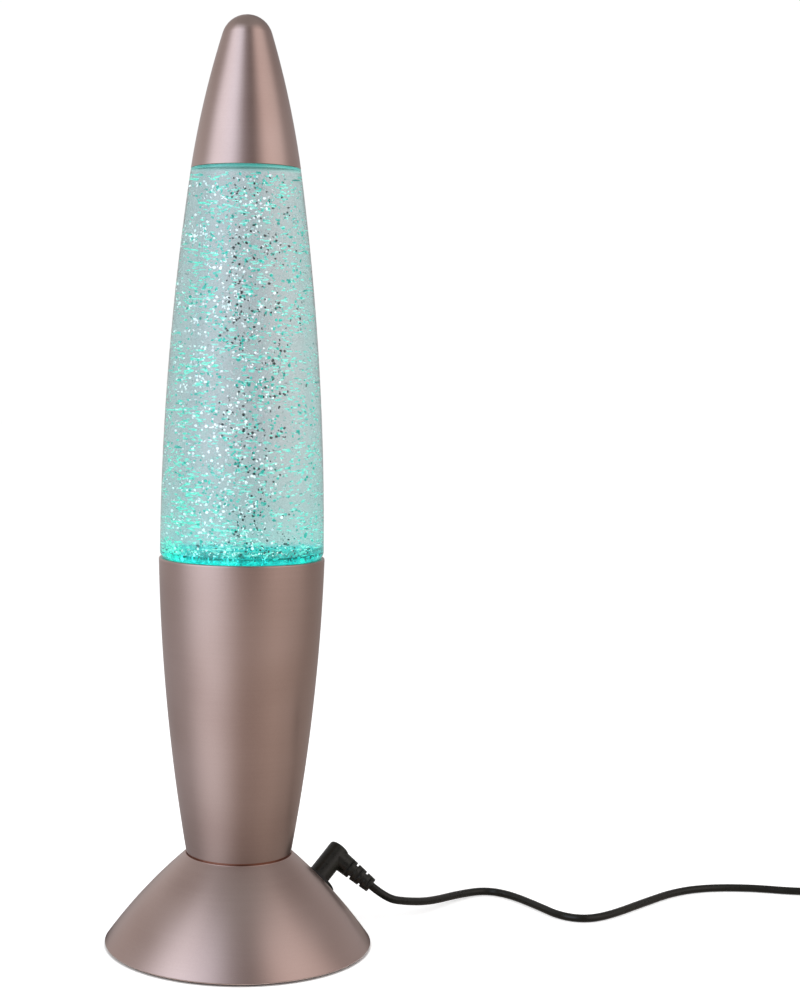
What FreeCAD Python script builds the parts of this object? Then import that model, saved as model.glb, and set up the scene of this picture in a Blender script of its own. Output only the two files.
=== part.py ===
import FreeCAD, Part
import Sketcher
import math
import os
import re

# A rocket-shaped glitter lamp: a cone foot, a tapered body with the motor and the lights in its top,
# a liquid-filled bottle that stands in the body's rim, and a pointed cap that drops over the bottle's neck.
# Millimetres. The lamp's axis is Z, and z = 0 is the plane that the rubber feet stand on.

Vector = FreeCAD.Vector
doc = FreeCAD.newDocument("GlitterLamp")

# Driving dimensions
sizes = {
    # Cone foot
    "footRadius": 54.9,
    "footTopRadius": 21.9,
    "footHeight": 37.4,
    "footBulge": 1.39,
    "footLift": 0.8,
    "footWall": 2.7,
    "footTopThickness": 2.2,
    "footHoleRadius": 12.0,
    "footEdgeRound": 0.6,
    # Bottom plate, its pads and its screws
    "plateLift": 2.0,
    "plateThickness": 2.0,
    "plateGap": 0.3,
    "plateRibRadius": 30.0,
    "plateRibWidth": 1.6,
    "plateRibHeight": 1.2,
    "padRadius": 5.5,
    "padPitch": 41.0,
    "padRecess": 0.6,
    "padCount": 4,
    "postRadius": 3.4,
    "postPitch": 38.0,
    "plateScrewRadius": 1.4,
    "plateScrewHeadRadius": 2.7,
    "plateScrewHeadHeight": 1.6,
    "plateScrewLength": 9.0,
    "plateScrewSink": 1.0,
    "screwGap": 0.06,
    # Ballast disc and its bolt
    "ballastRadius": 24.0,
    "ballastHeight": 7.0,
    "boltRadius": 2.4,
    "boltHeadRadius": 4.4,
    "boltHeadHeight": 1.1,
    "nutFlats": 8.0,
    "nutHeight": 3.2,
    # Power jack in the foot's wall
    "jackHeight": 19.77,
    "jackAzimuth": 34.95,
    "jackFlangeRadius": 9.0,
    "jackFlangeProud": 1.0,
    "jackFlangeSink": 1.0,
    "jackBarrelRadius": 5.4,
    "jackDepth": 12.0,
    "jackBoreRadius": 2.85,
    "jackBoreDepth": 9.6,
    "jackPinRadius": 1.0,
    "jackNutFlats": 13.6,
    "jackNutHeight": 2.4,
    "jackNutSetback": 3.3,
    "jackGap": 0.1,
    # Right-angle plug
    "plugGap": 0.15,
    "plugTop": 17.8,
    "plugHeadRadius": 4.7,
    "plugHeadRound": 1.2,
    "plugArmDrop": 4.45,
    "plugArmLength": 20.1,
    "plugArmRootRadius": 4.5,
    "plugArmNeckRadius": 4.1,
    "plugArmEndRadius": 3.2,
    "plugArmNeck": 7.45,
    "plugArmTurn": -37.2,
    "plugBarrelRadius": 2.7,
    "plugBarrelBore": 1.15,
    "plugBarrelLength": 9.3,
    "reliefSlot": 0.85,
    "reliefStep": 2.58,
    "reliefWeb": 3.8,
    # Tapered body
    "bodyBottomRadius": 21.75,
    "bodyRimRadius": 33.8,
    "bodyLength": 122.3,
    "bodyBulge": 2.24,
    "bodyWall": 1.8,
    "bodyFloor": 2.8,
    "bodySpigotDepth": 1.8,
    "bodySpigotWall": 2.4,
    "bodySpigotGap": 0.15,
    "bodyWireRadius": 7.0,
    "bodyShadowGap": 0.6,
    "bodyBossRadius": 3.0,
    "bodyBossHeight": 8.0,
    "bodyScrewShort": 2.0,
    "bodyScrewPitch": 16.4,
    "bodyScrewRadius": 1.5,
    "bodyScrewHeadRadius": 2.6,
    "bodyScrewHeadHeight": 1.8,
    "bodyScrewCount": 3,
    "rimRound": 0.6,
    "socketWall": 2.6,
    "socketDepth": 30.5,
    "ledgeRadius": 25.4,
    "ledgeHeight": 3.2,
    # Motor carrier
    "carrierGap": 0.2,
    "carrierThickness": 2.5,
    "carrierRimWall": 1.2,
    "carrierScrewPitch": 27.5,
    "carrierScrewRadius": 1.1,
    "carrierScrewHeadRadius": 1.8,
    "carrierScrewHeadHeight": 1.2,
    "carrierScrewCount": 3,
    "boardRingRadius": 20.0,
    "boardRingWall": 2.0,
    "boardRingHeight": 4.0,
    # Light board
    "boardInnerRadius": 15.6,
    "boardOuterRadius": 25.2,
    "boardThickness": 1.6,
    "ledSize": 5.0,
    "ledHeight": 1.6,
    "ledPitch": 20.5,
    "ledCount": 6,
    "chipLength": 5.0,
    "chipWidth": 4.0,
    "chipHeight": 1.4,
    "windowThickness": 1.5,
    "windowGap": 1.5,
    # Motor
    "motorRadius": 12.2,
    "motorFlats": 20.2,
    "motorLength": 17.0,
    "motorCapThickness": 2.6,
    "motorCapInset": 0.7,
    "motorNoseRadius": 3.0,
    "motorNoseHeight": 1.4,
    "motorNoseGap": 0.2,
    "motorScrewPitch": 8.2,
    "motorScrewRadius": 1.2,
    "motorScrewHeadRadius": 2.0,
    "motorScrewHeadHeight": 1.1,
    "motorScrewDepth": 4.0,
    "shaftRadius": 1.0,
    "shaftGap": 0.05,
    "shaftTail": 1.2,
    # Magnet disc on the motor's shaft
    "discRadius": 13.4,
    "discThickness": 4.4,
    "discTopGap": 1.0,
    "discHubRadius": 3.4,
    "discHubHeight": 2.6,
    "magnetRadius": 4.0,
    "magnetHeight": 3.0,
    "magnetPitch": 8.4,
    "magnetGap": 0.05,
    # Bottle
    "bottleInset": 0.4,
    "bottleLength": 156.5,
    "bottleTopRadius": 22.1,
    "bottleBulge": 2.65,
    "bottleWall": 2.0,
    "bottleFloor": 2.6,
    "bottleFootRound": 1.2,
    "bottleCornerInset": 1.5,
    "bottleCornerHeight": 2.8,
    "bottleCornerRise": 0.42,
    "bottleFit": 0.35,
    "spigotDepth": 14.0,
    "collarHeight": 3.4,
    "collarGap": 0.5,
    "neckRadius": 12.3,
    "neckShoulder": 6.0,
    "neckLength": 11.5,
    # Closure on the bottle's neck
    "closureWall": 1.8,
    "closureSkirt": 9.6,
    "closureTop": 1.8,
    "closureGap": 0.2,
    "closureRibs": 24,
    "closureRibDepth": 0.5,
    "sealThickness": 1.0,
    # Liquid, flakes and stirrer
    "liquidGap": 0.1,
    "liquidHeadroom": 7.0,
    "flakeWidth": 1.7,
    "flakeThickness": 0.3,
    "flakeCount": 42,
    "flakeMargin": 2.6,
    "spindleRadius": 1.0,
    "spindleHeight": 7.4,
    "spindleSink": 1.6,
    "stirrerRadius": 15.0,
    "stirrerLift": 0.5,
    "stirrerHubRadius": 4.0,
    "stirrerHeight": 4.6,
    "stirrerPlate": 3.0,
    "stirrerRoom": 1.2,
    "bladeCount": 6,
    "bladeThickness": 1.2,
    "bladeHeight": 3.2,
    "stirMagnetRadius": 3.0,
    "stirMagnetHeight": 2.0,
    # Pointed cap
    "capLength": 61.0,
    "capWall": 1.4,
    "capTipRadius": 10.4,
    "capTipSlope": 17.0,
    # Wires inside
    "wireRadius": 0.6,
    "wireSpacing": 2.6,
    "wireSlotRadius": 2.9,
    # Cord and its far plug
    "cordDiameter": 3.4,
    "cordRest": 0.05,
    "cordArcShare": 0.49,
    "coilRadius": 25.6,
    "coilGap": 0.45,
    "coilLoops": 3,
    "cordTailDrop": 20.0,
    "farReliefLength": 9.0,
    "farReliefEndRadius": 2.7,
    "farGripLength": 24.0,
    "farGripWidth": 15.6,
    "farGripHeight": 8.2,
    "farGripRound": 2.0,
    "farShellLength": 18.6,
    "farShellSink": 6.6,
    "farShellWidth": 12.0,
    "farShellHeight": 4.5,
    "farShellWall": 0.4,
    "farTongueHeight": 1.9,
    "farTongueSetback": 0.6,
    "farGap": 0.02,
}

sheet = doc.addObject("Spreadsheet::Sheet", "Sizes")
for row, (name, number) in enumerate(sizes.items(), start=1):
    sheet.set(f"A{row}", name)
    sheet.set(f"B{row}", str(number))
    sheet.setAlias(f"B{row}", name)
doc.recompute()


def cells(text):
    """The expression with every size pointed at its cell in the sheet."""
    return re.sub(r"[A-Za-z_]\w*", lambda word: "Sizes." + word[0] if word[0] in sizes else word[0], text)


def value(text):
    """What an expression in the sheet's sizes comes to."""
    return float(getattr(sheet.evalExpression(cells(text)), "Value", sheet.evalExpression(cells(text))))


# Heights along the axis, each worked out from the piece that carries it
plateTop = "(plateLift + plateThickness)"
jointZ = "(footLift + footHeight)"
rimZ = f"({jointZ} + bodyLength)"
capEdgeZ = f"({rimZ} + bottleLength)"
topZ = f"({capEdgeZ} + capLength)"
carrierZ = f"({rimZ} - socketDepth)"
carrierTop = f"({carrierZ} + carrierThickness)"
boardZ = f"({carrierTop} + boardRingHeight)"
boardTop = f"({boardZ} + boardThickness)"
spigotZ = f"({rimZ} - spigotDepth)"
windowTop = f"({spigotZ} - windowGap)"
windowZ = f"({windowTop} - windowThickness)"
discTop = f"({windowZ} - discTopGap)"
discZ = f"({discTop} - discThickness)"
motorZ = f"({carrierZ} - motorLength)"
floorZ = f"({spigotZ} + bottleFloor)"
stirrerZ = f"({floorZ} + stirrerLift)"
stirRoomTop = f"({floorZ} + spindleHeight + stirrerRoom)"
collarTop = f"({capEdgeZ} + collarHeight)"
neckZ = f"({collarTop} + neckShoulder)"
neckTop = f"({neckZ} + neckLength)"
closureTopZ = f"({neckTop} + sealThickness + closureTop)"

# Radii that follow from what a piece fits into
socketRadius = "(bodyRimRadius - socketWall)"
carrierRadius = f"({socketRadius} - carrierGap)"
bottleRadius = "(bodyRimRadius - bottleInset)"
spigotRadius = f"({socketRadius} - bottleFit)"
capEdgeInner = "(bottleTopRadius - capWall)"
collarRadius = f"({capEdgeInner} - collarGap)"
plateRadius = ("(footRadius - footWall - plateGap"
               " - (plateLift + plateThickness - footLift) * (footRadius - footTopRadius) / footHeight)")
stirRoomRadius = "(stirrerRadius + stirrerRoom)"

parts = {}
cuts = []


def keep(label, thing):
    """Names a finished sub-part."""
    thing.Label = label
    parts[label] = thing
    return thing


def planeOf(body, role):
    return next(plane for plane in body.Origin.OriginFeatures if plane.Role == role)


def newSketch(body, role, height="0", turn=0.0):
    """A sketch on one of the body's own origin planes, lifted along its normal and turned about it."""
    sketch = body.newObject("Sketcher::SketchObject", "Sketch")
    sketch.AttachmentSupport = [(planeOf(body, role), "")]
    sketch.MapMode = "FlatFace"
    sketch.AttachmentOffset = FreeCAD.Placement(Vector(0, 0, value(height)),
                                                FreeCAD.Rotation(Vector(0, 0, 1), turn))
    sketch.setExpression(".AttachmentOffset.Base.z", cells(height))
    return sketch


def bindSketch(sketch, constraint, text):
    """Adds one constraint and ties it to the sheet."""
    index = sketch.addConstraint(constraint)
    sketch.setExpression(f"Constraints[{index}]", cells(text))


def placePoint(sketch, edge, end, across, up):
    """Holds a sketch point at a distance from each axis, or on the axis itself."""
    if across == "0":
        sketch.addConstraint(Sketcher.Constraint("PointOnObject", edge, end, -2))
    else:
        bindSketch(sketch, Sketcher.Constraint("DistanceX", -1, 1, edge, end, value(across)), across)
    if up == "0":
        sketch.addConstraint(Sketcher.Constraint("PointOnObject", edge, end, -1))
    else:
        bindSketch(sketch, Sketcher.Constraint("DistanceY", -1, 1, edge, end, value(up)), up)


def drawOutline(sketch, corners):
    """A closed outline through corners (across, up) or (across, up, bulge).
    A bulge is the height of an arc from that corner to the next, to the right of the way that it runs."""
    ends = []
    for start, finish in zip(corners, corners[1:] + corners[:1]):
        a = Vector(value(start[0]), value(start[1]), 0)
        b = Vector(value(finish[0]), value(finish[1]), 0)
        if len(start) == 2:
            edge = sketch.addGeometry(Part.LineSegment(a, b))
            ends.append((edge, 1, 2))
            continue
        rise = value(start[2])
        chord = b - a
        radius = (chord.Length ** 2 / 4 + rise ** 2) / (2 * abs(rise))
        side = Vector(chord.y, -chord.x, 0).normalize() * (1 if rise > 0 else -1)
        centre = (a + b) / 2 + side * (abs(rise) - radius)
        first, last = (a, b) if rise > 0 else (b, a)
        angles = [math.atan2(point.y - centre.y, point.x - centre.x) for point in (first, last)]
        if angles[1] < angles[0]:
            angles[1] += 2 * math.pi
        circle = Part.Circle(centre, Vector(0, 0, 1), radius)
        edge = sketch.addGeometry(Part.ArcOfCircle(circle, *angles))
        ends.append((edge, 1, 2) if rise > 0 else (edge, 2, 1))
        span = f"(({finish[0]}) - ({start[0]})) ^ 2 + (({finish[1]}) - ({start[1]})) ^ 2"
        bindSketch(sketch, Sketcher.Constraint("Radius", edge, radius),
                   f"(({span}) / 4 + ({start[2]}) ^ 2) / (2 * abs({start[2]}))")
    for (edge, begin, end), (following, entry, leave) in zip(ends, ends[1:] + ends[:1]):
        sketch.addConstraint(Sketcher.Constraint("Coincident", edge, end, following, entry))
    for (edge, begin, end), corner in zip(ends, corners):
        placePoint(sketch, edge, begin, corner[0], corner[1])


def revolved(label, corners):
    """A body turned about Z from its half section, whose corners are (radius, height)."""
    body = doc.addObject("PartDesign::Body", label)
    sketch = newSketch(body, "XZ_Plane")
    drawOutline(sketch, corners)
    turn = body.newObject("PartDesign::Revolution", "Revolution")
    turn.Profile = sketch
    turn.ReferenceAxis = (sketch, ["V_Axis"])
    turn.Angle = 360
    body.Tip = turn
    return keep(label, body)


def disc(label, radius, low, high, hole=None):
    """A plain disc or ring between two heights."""
    inner = hole or "0"
    return revolved(label, [(inner, low), (radius, low), (radius, high), (inner, high)])


def repeated(body, feature, count):
    """Copies a feature round the body's Z axis."""
    pattern = body.newObject("PartDesign::PolarPattern", "PolarPattern")
    pattern.Originals = [feature]
    pattern.Axis = (planeOf(body, "Z_Axis"), [""])
    pattern.Angle = 360
    pattern.setExpression("Occurrences", cells(count))
    pattern.Occurrences = int(value(count))
    body.Tip = pattern
    return pattern


def circleAt(sketch, pitch, radius):
    circle = sketch.addGeometry(Part.Circle(Vector(value(pitch), 0, 0), Vector(0, 0, 1), value(radius)))
    placePoint(sketch, circle, 3, pitch, "0")
    bindSketch(sketch, Sketcher.Constraint("Radius", circle, value(radius)), radius)


def holes(body, radius, pitch, top, depth, count="1", turn=0.0):
    """Round holes that start at the height top and go down, set round the axis at one pitch radius."""
    before = body.Tip
    sketch = newSketch(body, "XY_Plane", top, turn)
    circleAt(sketch, pitch, radius)
    pocket = body.newObject("PartDesign::Pocket", "Pocket")
    pocket.Profile = sketch
    pocket.setExpression("Length", cells(depth))
    body.Tip = pocket
    cuts.append((before, repeated(body, pocket, count) if count != "1" else pocket))


def posts(body, radius, pitch, low, height, count="1", turn=0.0):
    """Round posts that stand on the height low, set round the axis at one pitch radius."""
    sketch = newSketch(body, "XY_Plane", low, turn)
    circleAt(sketch, pitch, radius)
    pad = body.newObject("PartDesign::Pad", "Pad")
    pad.Profile = sketch
    pad.setExpression("Length", cells(height))
    body.Tip = pad
    if count != "1":
        repeated(body, pad, count)


def rectangle(sketch, width, depth, centre="0"):
    """A rectangle of the sketch, centred on its vertical axis at a height."""
    half = f"({width}) / 2"
    low, high = f"({centre}) - ({depth}) / 2", f"({centre}) + ({depth}) / 2"
    drawOutline(sketch, [(f"-({half})", low), (half, low), (half, high), (f"-({half})", high)])


def group(label, shapes):
    """Several like solids in one sub-part."""
    feature = doc.addObject("Part::Feature", label)
    feature.Shape = Part.makeCompound(shapes)
    return keep(label, feature)


def around(shape, count, turn=0.0):
    """Copies of a shape set evenly round Z."""
    copies = []
    for number in range(count):
        copy = shape.copy()
        copy.rotate(Vector(0, 0, 0), Vector(0, 0, 1), turn + 360.0 * number / count)
        copies.append(copy)
    return copies


def screwShape(radius, length, headRadius, headHeight, headDown):
    """One pan head screw along Z, with its head's flat at z = 0 and its shank on the other side of it."""
    way = 1 if headDown else -1
    shank = Part.makeCylinder(radius, length, Vector(0, 0, 0), Vector(0, 0, way))
    head = Part.makeCylinder(headRadius, headHeight, Vector(0, 0, 0), Vector(0, 0, -way))
    crown = [edge for edge in head.Edges if abs(edge.CenterOfMass.z + way * headHeight) < 0.001]
    head = head.makeFillet(headHeight * 0.45, crown)
    return shank.fuse(head).removeSplitter()


def screwGroup(label, prefix, pitch, height, length, count, turn, headDown):
    shape = screwShape(value(prefix + "Radius"), value(length), value(prefix + "HeadRadius"),
                       value(prefix + "HeadHeight"), headDown)
    shape.translate(Vector(value(pitch), 0, value(height)))
    return group(label, around(shape, count, turn))


# Cone foot: a spun cone with a flat top, four posts for the bottom plate's screws and a hole for the body
edgeRise = "0.2929 * footEdgeRound"
footShelfZ = f"({jointZ} - footTopThickness)"
footInnerTop = "(footTopRadius + footTopThickness * (footRadius - footTopRadius) / footHeight - footWall)"
footBody = revolved("foot_cone", [
    ("footRadius - footWall", "footLift"),
    ("footRadius - footEdgeRound", "footLift", edgeRise),
    ("footRadius", "footLift + footEdgeRound", "footBulge"),
    ("footTopRadius", jointZ),
    ("footHoleRadius", jointZ),
    ("footHoleRadius", footShelfZ),
    (footInnerTop, footShelfZ, "-footBulge"),
])
postTop = ("(footLift + (footRadius - postPitch - postRadius) * footHeight / (footRadius - footTopRadius))")
posts(footBody, "postRadius", "postPitch", plateTop, f"{postTop} - {plateTop}", "padCount")
holes(footBody, "plateScrewRadius + screwGap", "postPitch", f"{plateTop} + plateScrewLength",
      "plateScrewLength + plateThickness", "padCount")
holes(footBody, "bodyScrewRadius + screwGap * 3", "bodyScrewPitch", f"{jointZ} + 1",
      "footTopThickness + 2", "bodyScrewCount", turn=60)

# The jack's place on the cone, and the directions of its axis and of the plug's arm
bottomPoint = Vector(value("footRadius"), 0, value("footLift + footEdgeRound"))
topPoint = Vector(value("footTopRadius"), 0, value(jointZ))
chord = topPoint - bottomPoint
bulge = value("footBulge")
bulgeRadius = (chord.Length ** 2 / 4 + bulge ** 2) / (2 * bulge)
outward = Vector(chord.z, 0, -chord.x).normalize()
bulgeCentre = (bottomPoint + topPoint) / 2 + outward * (bulge - bulgeRadius)
jackRise = value("jackHeight") - bulgeCentre.z
wallRadius = bulgeCentre.x + math.sqrt(bulgeRadius ** 2 - jackRise ** 2)
azimuth = math.radians(value("jackAzimuth"))
radial = Vector(math.cos(azimuth), math.sin(azimuth), 0)
sideways = Vector(-math.sin(azimuth), math.cos(azimuth), 0)
jackAxis = (radial * (wallRadius - bulgeCentre.x) + Vector(0, 0, jackRise)).normalize()
downhill = jackAxis.cross(sideways)
if downhill.z > 0:
    downhill = downhill * -1
armTurn = math.radians(value("plugArmTurn"))
armAxis = downhill * math.cos(armTurn) + sideways * math.sin(armTurn)
jackPoint = radial * wallRadius + Vector(0, 0, value("jackHeight"))
jackPlace = FreeCAD.Placement(jackPoint, FreeCAD.Rotation(armAxis, jackAxis.cross(armAxis), jackAxis, "ZXY"))


def cylinder(name, radius, height, base=None, place=None):
    """A Part cylinder tied to the sheet, standing base high above the place's own origin."""
    thing = doc.addObject("Part::Cylinder", name)
    thing.setExpression("Radius", cells(radius))
    thing.setExpression("Height", cells(height))
    offset = FreeCAD.Placement(Vector(0, 0, value(base or "0")), FreeCAD.Rotation())
    thing.Placement = (place or FreeCAD.Placement()).multiply(offset)
    return thing


def boolean(kind, label, base, tool):
    """A Part cut, fuse or common of two objects."""
    thing = doc.addObject("Part::" + kind, label)
    thing.Base = base
    thing.Tool = tool
    if kind == "Cut":
        cuts.append((base, thing))
    return thing


jackHole = boolean("Fuse", "jack_hole",
                   cylinder("jack_bore", "jackBarrelRadius + jackGap", "jackDepth * 2", "-jackDepth", jackPlace),
                   cylinder("jack_face", "jackFlangeRadius + jackGap", "jackDepth", "-jackFlangeSink", jackPlace))
keep("foot_shell", boolean("Cut", "foot_shell", footBody, jackHole))
parts.pop("foot_cone")

# Bottom plate, its pads, its screws, the ballast disc and the bolt that holds it
plate = revolved("base_plate", [
    ("boltRadius + screwGap", "plateLift"),
    (plateRadius, "plateLift"),
    (plateRadius, plateTop),
    ("plateRibRadius + plateRibWidth", plateTop),
    ("plateRibRadius + plateRibWidth", f"{plateTop} + plateRibHeight"),
    ("plateRibRadius", f"{plateTop} + plateRibHeight"),
    ("plateRibRadius", plateTop),
    ("boltRadius + screwGap", plateTop),
])
holes(plate, "plateScrewRadius + screwGap", "postPitch", f"{plateTop} + 1", "plateThickness + 2", "padCount")
holes(plate, "plateScrewHeadRadius + screwGap * 3", "postPitch", "plateLift + plateScrewSink",
      "plateScrewSink + 1", "padCount")
holes(plate, "padRadius + screwGap", "padPitch", "plateLift + padRecess", "padRecess + 1", "padCount", turn=45)
padHeight = value("plateLift + padRecess")
pad = Part.makeCylinder(value("padRadius"), padHeight, Vector(value("padPitch"), 0, 0))
pad = pad.makeChamfer(0.5, [edge for edge in pad.Edges if edge.CenterOfMass.z < 0.001 and edge.Closed])
group("rubber_feet", around(pad, int(value("padCount")), 45))
screwGroup("base_screws", "plateScrew", "postPitch", "plateLift + plateScrewSink",
           "plateThickness - plateScrewSink + plateScrewLength - 0.5", int(value("padCount")), 0, True)
disc("ballast_weight", "ballastRadius", plateTop, f"{plateTop} + ballastHeight", "boltRadius + screwGap")
bolt = screwShape(value("boltRadius"), value("plateThickness + ballastHeight + nutHeight + 1.5"),
                  value("boltHeadRadius"), value("boltHeadHeight"), True)
bolt.translate(Vector(0, 0, value("plateLift")))
group("ballast_bolt", [bolt])


def hexNut(label, flats, height, low, bore, place=None):
    """A plain hexagon nut: a prism with a round hole."""
    prism = doc.addObject("Part::Prism", label + "_blank")
    prism.Polygon = 6
    prism.setExpression("Circumradius", cells(f"({flats}) / 2 / cos(30)"))
    prism.setExpression("Height", cells(height))
    frame = place or FreeCAD.Placement()
    prism.Placement = frame.multiply(FreeCAD.Placement(Vector(0, 0, value(low)), FreeCAD.Rotation()))
    drill = cylinder(label + "_drill", bore, f"({height}) * 3", f"({low}) - ({height})", place)
    return keep(label, boolean("Cut", label, prism, drill))


hexNut("ballast_nut", "nutFlats", "nutHeight", f"{plateTop} + ballastHeight", "boltRadius + screwGap")

# Power jack: a flanged socket through the cone's wall, its centre pin and its nut inside
jack = revolved("dc_jack", [
    ("0", "-jackDepth"),
    ("jackBarrelRadius", "-jackDepth"),
    ("jackBarrelRadius", "-jackFlangeSink"),
    ("jackFlangeRadius", "-jackFlangeSink"),
    ("jackFlangeRadius", "jackFlangeProud - 0.5", "0.1464"),
    ("jackFlangeRadius - 0.5", "jackFlangeProud"),
    ("jackBoreRadius", "jackFlangeProud"),
    ("jackBoreRadius", "-jackBoreDepth"),
    ("jackPinRadius + screwGap", "-jackBoreDepth"),
    ("jackPinRadius + screwGap", "-jackBoreDepth - 1.2"),
    ("0", "-jackBoreDepth - 1.2"),
])
jack.Placement = jackPlace
pin = revolved("jack_pin", [
    ("0", "-jackBoreDepth - 1.2"),
    ("jackPinRadius", "-jackBoreDepth - 1.2"),
    ("jackPinRadius", "-jackPinRadius"),
    ("jackPinRadius / 2", "-jackPinRadius / 2"),
    ("0", "-jackPinRadius / 2"),
])
pin.Placement = jackPlace
hexNut("jack_nut", "jackNutFlats", "jackNutHeight", "-jackNutSetback - jackNutHeight",
       "jackBarrelRadius + screwGap", jackPlace)

# Right-angle plug: a round head, an arm with a slotted strain relief, and the metal barrel in the jack
plugBase = "(jackFlangeProud + plugGap)"
armZ = "(plugTop - plugArmDrop)"
head = revolved("plug_stub", [
    ("plugBarrelRadius", plugBase),
    ("plugHeadRadius", plugBase),
    ("plugHeadRadius", "plugTop - plugHeadRound", "0.2929 * plugHeadRound"),
    ("plugHeadRadius - plugHeadRound", "plugTop"),
    ("0", "plugTop"),
    ("0", f"{plugBase} + 1.5"),
    ("plugBarrelRadius", f"{plugBase} + 1.5"),
])
parts.pop("plug_stub")


def alongArm(label, corners):
    """A body turned about the arm's axis. Corners are (distance from the head's axis, radius)."""
    body = doc.addObject("PartDesign::Body", label)
    sketch = newSketch(body, "XZ_Plane")
    drawOutline(sketch, [(corner[0], f"{corner[1]}") + tuple(corner[2:]) for corner in corners])
    turn = body.newObject("PartDesign::Revolution", "Revolution")
    turn.Profile = sketch
    turn.ReferenceAxis = (sketch, ["H_Axis"])
    turn.Angle = 360
    body.Tip = turn
    body.Placement = jackPlace.multiply(FreeCAD.Placement(Vector(0, 0, value(armZ)), FreeCAD.Rotation()))
    return body


arm = alongArm("plug_arm", [
    ("0", "0"),
    ("plugArmNeck", "0"),
    ("plugArmNeck", "plugArmNeckRadius"),
    ("0", "plugArmRootRadius"),
])
head.Placement = jackPlace
keep("plug_head", boolean("Fuse", "plug_head", head, arm))
relief = alongArm("plug_strain_relief", [
    ("plugArmNeck", "0"),
    ("plugArmLength", "0"),
    ("plugArmLength", "plugArmEndRadius"),
    ("plugArmNeck", "plugArmNeckRadius"),
])


def reliefSlots(role, first, count):
    """Pairs of slots across the relief that leave a web between them, every second step along the arm."""
    before = relief.Tip
    sketch = newSketch(relief, role)
    for number in range(count):
        near = f"plugArmNeck + {first + 2 * number} * reliefStep"
        far = f"{near} + reliefSlot"
        for low, high in (("reliefWeb / 2", "plugHeadRadius"), ("-plugHeadRadius", "-reliefWeb / 2")):
            drawOutline(sketch, [(near, low), (far, low), (far, high), (near, high)])
    pocket = relief.newObject("PartDesign::Pocket", "Pocket")
    pocket.Profile = sketch
    pocket.Midplane = True
    pocket.setExpression("Length", cells("plugHeadRadius * 2"))
    relief.Tip = pocket
    cuts.append((before, pocket))


reliefSlots("XY_Plane", 0, 3)
reliefSlots("XZ_Plane", 1, 2)
keep("plug_strain_relief", relief)
barrel = revolved("plug_barrel", [
    ("plugBarrelBore", f"{plugBase} + 1.5 - plugBarrelLength"),
    ("plugBarrelRadius - 0.3", f"{plugBase} + 1.5 - plugBarrelLength"),
    ("plugBarrelRadius - screwGap", f"{plugBase} + 1.8 - plugBarrelLength"),
    ("plugBarrelRadius - screwGap", f"{plugBase} + 1.5"),
    ("plugBarrelBore", f"{plugBase} + 1.5"),
])
barrel.Placement = jackPlace

# Tapered body: a bulged shell with a floor, three screw bosses, a ledge and a straight socket at the rim
bodyOuterAtCarrier = "(bodyBottomRadius + (bodyRimRadius - bodyBottomRadius) * (1 - socketDepth / bodyLength))"
bodyShell = revolved("body_shell", [
    ("footHoleRadius - bodySpigotGap - bodySpigotWall", f"{jointZ} - bodySpigotDepth"),
    ("footHoleRadius - bodySpigotGap", f"{jointZ} - bodySpigotDepth"),
    ("footHoleRadius - bodySpigotGap", jointZ),
    ("bodyBottomRadius - bodyShadowGap", jointZ),
    ("bodyBottomRadius - bodyShadowGap", f"{jointZ} + bodyShadowGap"),
    ("bodyBottomRadius", f"{jointZ} + bodyShadowGap", "bodyBulge"),
    ("bodyRimRadius", f"{rimZ} - rimRound", "0.2929 * rimRound"),
    ("bodyRimRadius - rimRound", rimZ),
    (socketRadius, rimZ),
    (socketRadius, carrierZ),
    ("ledgeRadius", carrierZ),
    ("ledgeRadius", f"{carrierZ} - ledgeHeight"),
    (f"{bodyOuterAtCarrier} - bodyWall", f"{carrierZ} - ledgeHeight * 2", "-bodyBulge * 0.7"),
    ("bodyBottomRadius - bodyWall", f"{jointZ} + bodyFloor"),
    ("bodyWireRadius", f"{jointZ} + bodyFloor"),
    ("bodyWireRadius", jointZ),
    ("footHoleRadius - bodySpigotGap - bodySpigotWall", jointZ),
])
posts(bodyShell, "bodyBossRadius", "bodyScrewPitch", jointZ, "bodyFloor + bodyBossHeight", "bodyScrewCount", turn=60)
holes(bodyShell, "bodyScrewRadius + screwGap", "bodyScrewPitch", f"{jointZ} + bodyFloor + bodyBossHeight - 1",
      "bodyFloor + bodyBossHeight", "bodyScrewCount", turn=60)
holes(bodyShell, "carrierScrewRadius + screwGap", "carrierScrewPitch", f"{carrierZ} + 1", "ledgeHeight + 3",
      "carrierScrewCount")
bodyScrewLength = "footTopThickness + bodyFloor + bodyBossHeight - bodyScrewShort"
screwGroup("body_screws", "bodyScrew", "bodyScrewPitch", footShelfZ, bodyScrewLength,
           int(value("bodyScrewCount")), 60, True)

# Motor carrier: a plate on the ledge, with a ring for the light board and a rim for the window
carrier = revolved("carrier_plate", [
    ("motorNoseRadius + motorNoseGap", carrierZ),
    (carrierRadius, carrierZ),
    (carrierRadius, windowZ),
    (f"{carrierRadius} - carrierRimWall", windowZ),
    (f"{carrierRadius} - carrierRimWall", carrierTop),
    ("boardRingRadius + boardRingWall / 2", carrierTop),
    ("boardRingRadius + boardRingWall / 2", boardZ),
    ("boardRingRadius - boardRingWall / 2", boardZ),
    ("boardRingRadius - boardRingWall / 2", carrierTop),
    ("motorNoseRadius + motorNoseGap", carrierTop),
])
holes(carrier, "carrierScrewRadius + screwGap", "carrierScrewPitch", f"{carrierTop} + 1",
      "carrierThickness + 2", "carrierScrewCount")
holes(carrier, "motorScrewRadius + screwGap", "motorScrewPitch", f"{carrierTop} + 1", "carrierThickness + 2", "2")
wireTurn = 60.0
wirePitch = "(boardRingRadius + boardRingWall / 2 + wireSlotRadius - 0.4)"
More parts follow.
